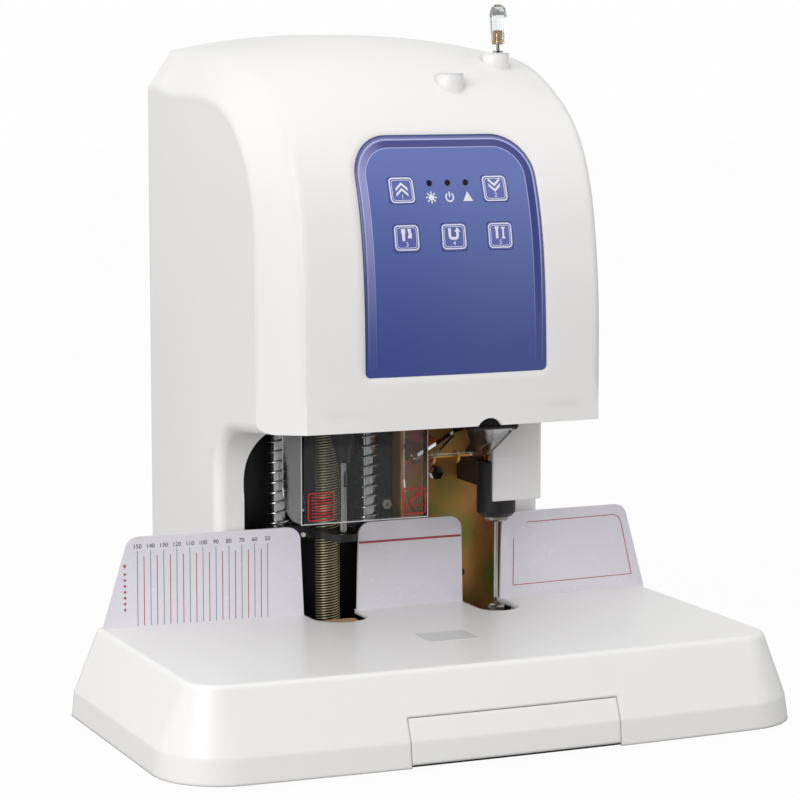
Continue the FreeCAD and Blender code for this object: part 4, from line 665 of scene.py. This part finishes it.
def panelBead():
    # The rim of the moulded panel: at set distances in from its edge the surface stands so much above the
    # foil, up to a crest and down a long inner slope, and the whole bead fades out down the sides.
    size = {"across": (0.7, 1.2, 2.0, 2.7, 3.3, 4.2, 6.2, 8.4, 9.2),
            "rise": (0.05, 0.7, 1.3, 1.5, 1.4, 1.1, 0.55, 0.1, 0.0), "corner": 30.0, "fadeFull": 365.0,
            "fadeEnd": 270.0, "lowest": 267.0, "step": 2.0,
            # the bands' foils paint light onto the bead: painted shade outside, painted highlights on the crest and
            # inner line, painted shade and light on the slope
            "bands": [("beadOuter", "rimShadeFoil", (0.7, 1.2, 1.9, 2.4)),
                      ("beadCrest", "rimHighlightFoil", (2.4, 3.0, 3.5)),
                      ("beadSlope", "rimSlopeLightShadeFoil", (3.5, 5.0, 6.6, 8.4)),
                      ("beadInner", "rimHighlightFoil", (8.4, 9.0))], "thinnest": 0.02}
    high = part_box("control_panel")[1]
    x1, z1, r = high.x / mm, high.z / mm, size["corner"]
    half = arcLine(x1 - r, z1 - r, r, 0, 90, 20)
    side = np.array([(x1, size["lowest"]), (x1, z1 - r)])
    right = np.concatenate([dense(side, size["step"], False)[:-1], half])
    path = np.concatenate([right, (right * [-1, 1])[::-1]])
    path = dense(path, size["step"], False)
    ahead = np.gradient(path, axis=0)
    inward = np.stack([-ahead[:, 1], ahead[:, 0]], -1)
    inward /= np.linalg.norm(inward, axis=1)[:, None]

    def band(name, across, rise, material):
        points = path[:, None] + inward[:, None] * np.array(across)[None, :, None]
        share = np.clip((points[..., 1] - size["fadeEnd"]) / (size["fadeFull"] - size["fadeEnd"]), 0, 1)
        thick = size["thinnest"] + np.array(rise)[None, :] * share * share * (3 - 2 * share)
        n, k = points.shape[:2]
        i, j = np.meshgrid(np.arange(n - 1), np.arange(k - 1), indexing="ij")
        faces = np.stack([i * k + j, i * k + j + 1, (i + 1) * k + j + 1, (i + 1) * k + j], -1).reshape(-1, 4)
        piece = artwork(name, [(points.reshape(-1, 2), faces.tolist())], panelSize["startY"])
        finished(printedOn(piece, "control_panel", thick.reshape(-1)), material, "frame")

    for name, foil, across in size["bands"]:
        band(name, across, np.interp(across, size["across"], size["rise"]), finish[foil])


panelBead()
print("panel prints made")


# ---- table guards: scale, red line and red frame ----

def rulerPrints():
    size = {"drillX": -44.4, "first": 50, "last": 150, "step": 10, "line": 0.5, "low": 68.6, "high": 124.5,
            "redHigh": 120.5, "numberZ": 126.4, "numberHeight": 3.1, "startY": -20.0,
            "arrowX": -204.0, "arrowHigh": 112.0, "arrowStep": 4.4}
    marks = range(size["first"], size["last"] + 1, size["step"])
    tall = [bandShape([(size["drillX"] - m, size["low"]), (size["drillX"] - m, size["high"])], size["line"])
            for m in marks]
    piece = printedOn(artwork("rulerTens", tall, size["startY"]), "ruler_guard")
    finished(piece, finish["tealInk"], "frame")
    fives = [size["drillX"] - m - size["step"] / 2 for m in marks if m < size["last"]]
    short = [bandShape([(x, size["low"]), (x, size["redHigh"])], size["line"]) for x in fives]
    x, z = size["arrowX"], size["arrowHigh"]
    short.append(outlineShape([(x - 1.5, z + 2.6), (x + 1.5, z + 2.6), (x, z)]))
    for k in range(1, 8):
        short.append(outlineShape(arcLine(x, z - k * size["arrowStep"], 1.0, 0, 360, 9)[:-1]))
    piece = printedOn(artwork("rulerFives", short, size["startY"]), "ruler_guard")
    finished(piece, finish["redInk"], "frame")
    for m in marks:
        number = digits("rulerNumber%d" % m, str(m), size["drillX"] - m, size["numberZ"], size["numberHeight"],
                        size["startY"])
        finished(printedOn(number, "ruler_guard"), finish["darkInk"], "frame")


def guardLines():
    # A red line across the middle guard and an open red frame on the right one.
    size = {"lineZ": 119.7, "lineWidth": 1.7, "lineLeft": -21.2, "lineRight": 63.3, "startY": 0.0, "frameWidth": 0.55,
            "frame": [(119.9, 126.1), (194.5, 127.1), (198.0, 126.2), (200.6, 123.6), (202.1, 119.6), (211.6, 78.8),
                      (108.1, 77.4), (108.4, 114.3)]}
    line = bandShape([(size["lineLeft"], size["lineZ"]), (size["lineRight"], size["lineZ"])], size["lineWidth"])
    finished(printedOn(artwork("stackLine", [line], size["startY"]), "height_guard"), finish["redInk"], "frame")
    runs = np.array(size["frame"])
    piece = artwork("noticeFrame", [bandShape(runs[k:k + 2], size["frameWidth"]) for k in range(len(runs) - 1)],
                    size["startY"])
    finished(printedOn(piece, "notice_guard"), finish["redInk"], "frame")


def hoodMarks():
    # Two red squares with round corners on the hood's front, one with an arrow and one ruled.
    size = {"startY": -60.0, "line": 1.0, "corner": 2.0, "left": (-89.3, -68.5, 150.6, 171.4),
            "right": (-14.9, 4.0, 150.9, 170.4)}
    x0, x1, z0, z1 = size["left"]
    shapes = [lineLoop(roundedLoop(x0, x1, z0, z1, size["corner"]), size["line"])]
    shapes += [bandShape([(x0 + 3, z), (x1 - 3, z)], 0.9) for z in np.arange(z0 + 3.2, z1 - 2, 2.4)]
    x0, x1, z0, z1 = size["right"]
    shapes += [lineLoop(roundedLoop(x0, x1, z0, z1, size["corner"]), size["line"]),
               bandShape([(x0 + 5.6, z0 + 8.6), (x0 + 12.2, z0 + 14.6)], 1.5),
               outlineShape([(x0 + 10.4, z0 + 15.6), (x0 + 13.6, z0 + 12.2), (x0 + 15.0, z0 + 17.4)]),
               bandShape([(x0 + 1.4, z0 + 6.4), (x1 - 1.4, z0 + 6.4)], 0.6)]
    piece = printedOn(artwork("hoodMarks", shapes, size["startY"]), "drill_hood")
    finished(piece, finish["redFilm"], "hood")


rulerPrints()
guardLines()
hoodMarks()
print("guard prints made")


# ---- flap bar, tab and labels ----

def flapBar():
    # A round bar along the flap's front edge, ending in a ball: radius over length, spun round the bar.
    size = {"from": 24.0, "radius": 2.0, "ball": 2.9, "drop": 1.0, "forward": 0.6, "neck": (3.2, 1.9), "inset": 0.6}
    low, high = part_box("rivet_flap")
    r, ball = size["radius"] * mm, size["ball"] * mm
    y, z = low.y + size["forward"] * mm, high.z - size["drop"] * mm
    x0, x1 = size["from"] * mm, high.x
    ends = np.linspace(0, np.pi / 2, 7)
    round0 = np.stack([x0 + r * (1 - np.cos(ends)), r * np.sin(ends)], -1)
    turn = np.linspace(np.arccos(r / ball) + 0.02, np.pi, 12)
    cap = np.stack([x1 - ball * size["inset"] - ball * np.cos(turn), ball * np.sin(turn)], -1)
    neck = np.array([(x1 - share * ball, r) for share in size["neck"]])
    profile = np.concatenate([round0, neck, cap])
    spin = np.linspace(0, 2 * np.pi, 20, endpoint=False)
    along, out = profile[:, :1], profile[:, 1:]
    points = np.stack([along + 0 * spin, y + out * np.cos(spin), z + out * np.sin(spin)], -1)
    finished(fromGrid("flapBar", points, wrap=True), finish["blackNylon"], "flap")


def flapTab():
    # A half-round grip that stands on the bar: an arc's outline, given its thickness, with a thin round edge.
    size = {"x": 38.4, "half": 9.0, "high": 8.0, "thick": 2.4, "sink": 0.8, "forward": 0.6, "steps": 25}
    low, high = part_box("rivet_flap")
    turn = np.linspace(0, np.pi, size["steps"])
    shares = [(-0.5, 0.88), (-0.3, 0.98), (0.0, 1.0), (0.3, 0.98), (0.5, 0.88)]
    rows = []
    for depth, share in shares:
        y = np.full(size["steps"], low.y + (size["forward"] + size["thick"] * depth) * mm)
        rows.append(np.stack([(size["x"] + size["half"] * share * np.cos(turn)) * mm, y,
                              high.z + (size["high"] * share * np.sin(turn) - size["sink"]) * mm], -1))
    finished(fromGrid("flapTab", np.stack(rows), caps=True, wrap=True, sharpAngle=50), finish["blackNylon"], "flap")


flapBar()
flapTab()


def knobGlass():
    # A ten-sided barrel with a domed top, clear, round a steel insert that holds the needle.
    size = {"facets": 10, "profile": [(0.01, 0.2), (4.3, 0.2), (4.9, 1.0), (5.6, 8.0), (6.3, 16.0), (6.6, 21.0),
                                      (6.2, 24.5), (5.0, 27.4), (3.0, 29.2), (1.2, 29.8), (0.01, 29.9)],
            "insert": [(2.15, 1.4), (2.5, 1.4), (2.5, 4.0), (2.2, 4.4), (2.2, 5.4), (2.5, 5.8), (2.5, 10.0),
                       (2.0, 10.8), (0.01, 10.8)], "insertSteps": 24}
    low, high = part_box("needle_knob")
    centre = ((low.x + high.x) / 2, (low.y + high.y) / 2, low.z)
    glass = turned("knobGlass", np.array(size["profile"]) * mm, centre, steps=size["facets"], sharpAngle=12)
    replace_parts(finished(glass, finish["clearStyrene"], "needle"), "needle_knob")
    insert = turned("knobInsert", np.array(size["insert"]) * mm, centre, steps=size["insertSteps"])
    finished(insert, finish["temperedSteel"], "needle")


def hoodEdges():
    # A thin frosted line along the sheet's sawn bottom edge, and a painted highlight line down each bent front corner.
    size = {"radius": 0.4, "out": 0.25, "sides": 8, "steps": 12}
    low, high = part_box("drill_hood")
    out = size["out"] * mm
    x0, x1, y, z = low.x - out, high.x + out, low.y - out, low.z
    runs = {"hoodCornerHighlightLeft": [(x0, y, z), (x0, y, high.z)], "hoodCornerHighlightRight": [(x1, y, z), (x1, y, high.z)],
            "hoodEdgeLow": [(x0, y, z), (x1, y, z)]}
    for name, ends in runs.items():
        piece = tubeAlong(name, np.linspace(*ends, size["steps"]), size["radius"] * mm, size["sides"])
        finished(piece, finish["frostedEdgeAndHighlight"], "hood")


knobGlass()
hoodEdges()


def labelOn(name, outline, node, material, thick=0.25, level=False, startAt=-60.0):
    # A thin plate or label with round corners, laid on a node.
    x0, x1, low, high, corner = outline
    loop = roundedLoop(x0, x1, low, high, corner)
    piece = printedOn(artwork(name, [outlineShape(loop)], startAt, level), node, thick=thick, fromAbove=level)
    finished(piece, material, "frame")


labelOn("tablePlate", (-19.5, 19.5, -97.0, -67.0, 2.0), "base_tray", finish["satinPlate"], level=True,
        startAt=200.0)
labelOn("crownLabel", (19.3, 35.9, -29.3, -20.7, 0.8), "housing", finish["blueLabel"], level=True,
        startAt=600.0, thick=0.1)
labelOn("rivetCoverLabel", (70.3, 97.2, 153.0, 185.6, 1.5), "rivet_cover", finish["paperLabel"],
        thick=0.15)
print("labels made")


# ---- stage, lamps and camera ----

def makeStage():
    size = {"floorHalf": 12.0, "floorShare": 0.97, "world": 0.75, "backdrop": 0.985, "flagReach": 1.45,
            "flagLow": 0.002, "flagHigh": 1.6, "flagFrom": -58.0, "flagTo": 22.0, "flagSteps": 25}
    floor = bpy.data.materials.new("paleFloor")
    floor.use_nodes = True
    tree = floor.node_tree
    shader = tree.nodes["Principled BSDF"]
    shader.inputs["Base Color"].default_value = linear("#9a9a9a")
    shader.inputs["Roughness"].default_value = 0.9
    path = addNode(tree, "ShaderNodeLightPath")
    glow = addNode(tree, "ShaderNodeEmission", {"Color": linear("#ffffff"), "Strength": 1.0})
    share = addNode(tree, "ShaderNodeMath", {0: path.outputs["Is Camera Ray"], 1: size["floorShare"]},
                    operation="MULTIPLY")
    mixed = addNode(tree, "ShaderNodeMixShader", {0: share.outputs[0], 1: shader.outputs[0], 2: glow.outputs[0]})
    tree.links.new(mixed.outputs[0], tree.nodes["Material Output"].inputs["Surface"])
    half = size["floorHalf"]
    corners = [(-half, -half, 0), (half, -half, 0), (half, half, 0), (-half, half, 0)]
    piece = fromFaces("floor", corners, [[0, 1, 2, 3]])
    piece.data.materials.append(floor)
    # a dark studio flag in front, seen only in reflections, gives gloss and metal their dark side
    turn = np.radians(np.linspace(size["flagFrom"], size["flagTo"], size["flagSteps"]))
    arc = np.stack([np.sin(turn), -np.cos(turn)], -1) * size["flagReach"]
    heights = (size["flagLow"], size["flagHigh"])
    rows = np.stack([np.column_stack([arc, np.full(size["flagSteps"], h)]) for h in heights])
    flag = fromGrid("studioFlag", rows)
    dark = bpy.data.materials.new("blackFelt")
    dark.use_nodes = True
    shader = dark.node_tree.nodes["Principled BSDF"]
    shader.inputs["Base Color"].default_value = linear("#2a2a2e")
    shader.inputs["Roughness"].default_value = 1.0
    flag.data.materials.append(dark)
    flag.visible_camera = flag.visible_diffuse = flag.visible_transmission = flag.visible_shadow = False
    world = bpy.data.worlds.new("studio")
    bpy.context.scene.world = world
    world.use_nodes = True
    tree = world.node_tree
    back = tree.nodes["Background"]
    path = addNode(tree, "ShaderNodeLightPath")
    seen = addNode(tree, "ShaderNodeMath", {0: path.outputs["Is Camera Ray"], 1: path.outputs["Is Transmission Ray"]},
                   operation="MAXIMUM")
    strength = addNode(tree, "ShaderNodeMapRange", {"Value": seen.outputs[0], "To Min": size["world"],
                                                    "To Max": size["backdrop"]})
    tree.links.new(strength.outputs[0], back.inputs["Strength"])
    back.inputs["Color"].default_value = (1, 1, 1, 1)


def addLamp(name, place, aim, width, height, power):
    lamp = bpy.data.lights.new(name, "AREA")
    lamp.shape = "RECTANGLE"
    lamp.size, lamp.size_y = width, height
    lamp.energy = power
    piece = bpy.data.objects.new(name, lamp)
    bpy.context.scene.collection.objects.link(piece)
    direction = np.array(aim) - np.array(place)
    piece.rotation_euler = Vector(direction).to_track_quat("-Z", "Y").to_euler()
    piece.location = place


def addCamera():
    size = {"place": (-0.8254, -1.9058, 0.4888), "azimuth": -23.39, "down": 7.078, "lens": 126.69, "sensor": 36.0}
    camera = bpy.data.cameras.new("camera")
    camera.lens, camera.sensor_width = size["lens"], size["sensor"]
    camera.clip_end = 60
    piece = bpy.data.objects.new("camera", camera)
    piece.location = size["place"]
    piece.rotation_euler = (math.radians(90 - size["down"]), 0, math.radians(size["azimuth"]))
    bpy.context.scene.collection.objects.link(piece)
    bpy.context.scene.camera = piece


makeStage()
addLamp("softboxLeft", (-2.6, -1.6, 1.7), (0, 0, 0.25), 1.8, 2.2, 56)
addLamp("softboxRight", (2.4, -1.8, 1.6), (0, 0, 0.25), 1.6, 2.2, 8)
addLamp("softboxTop", (0.0, -0.4, 2.6), (0, 0, 0.2), 2.4, 2.0, 2)
addCamera()
bpy.context.scene.view_settings.view_transform = "Standard"
print("stage, lamps and camera set")
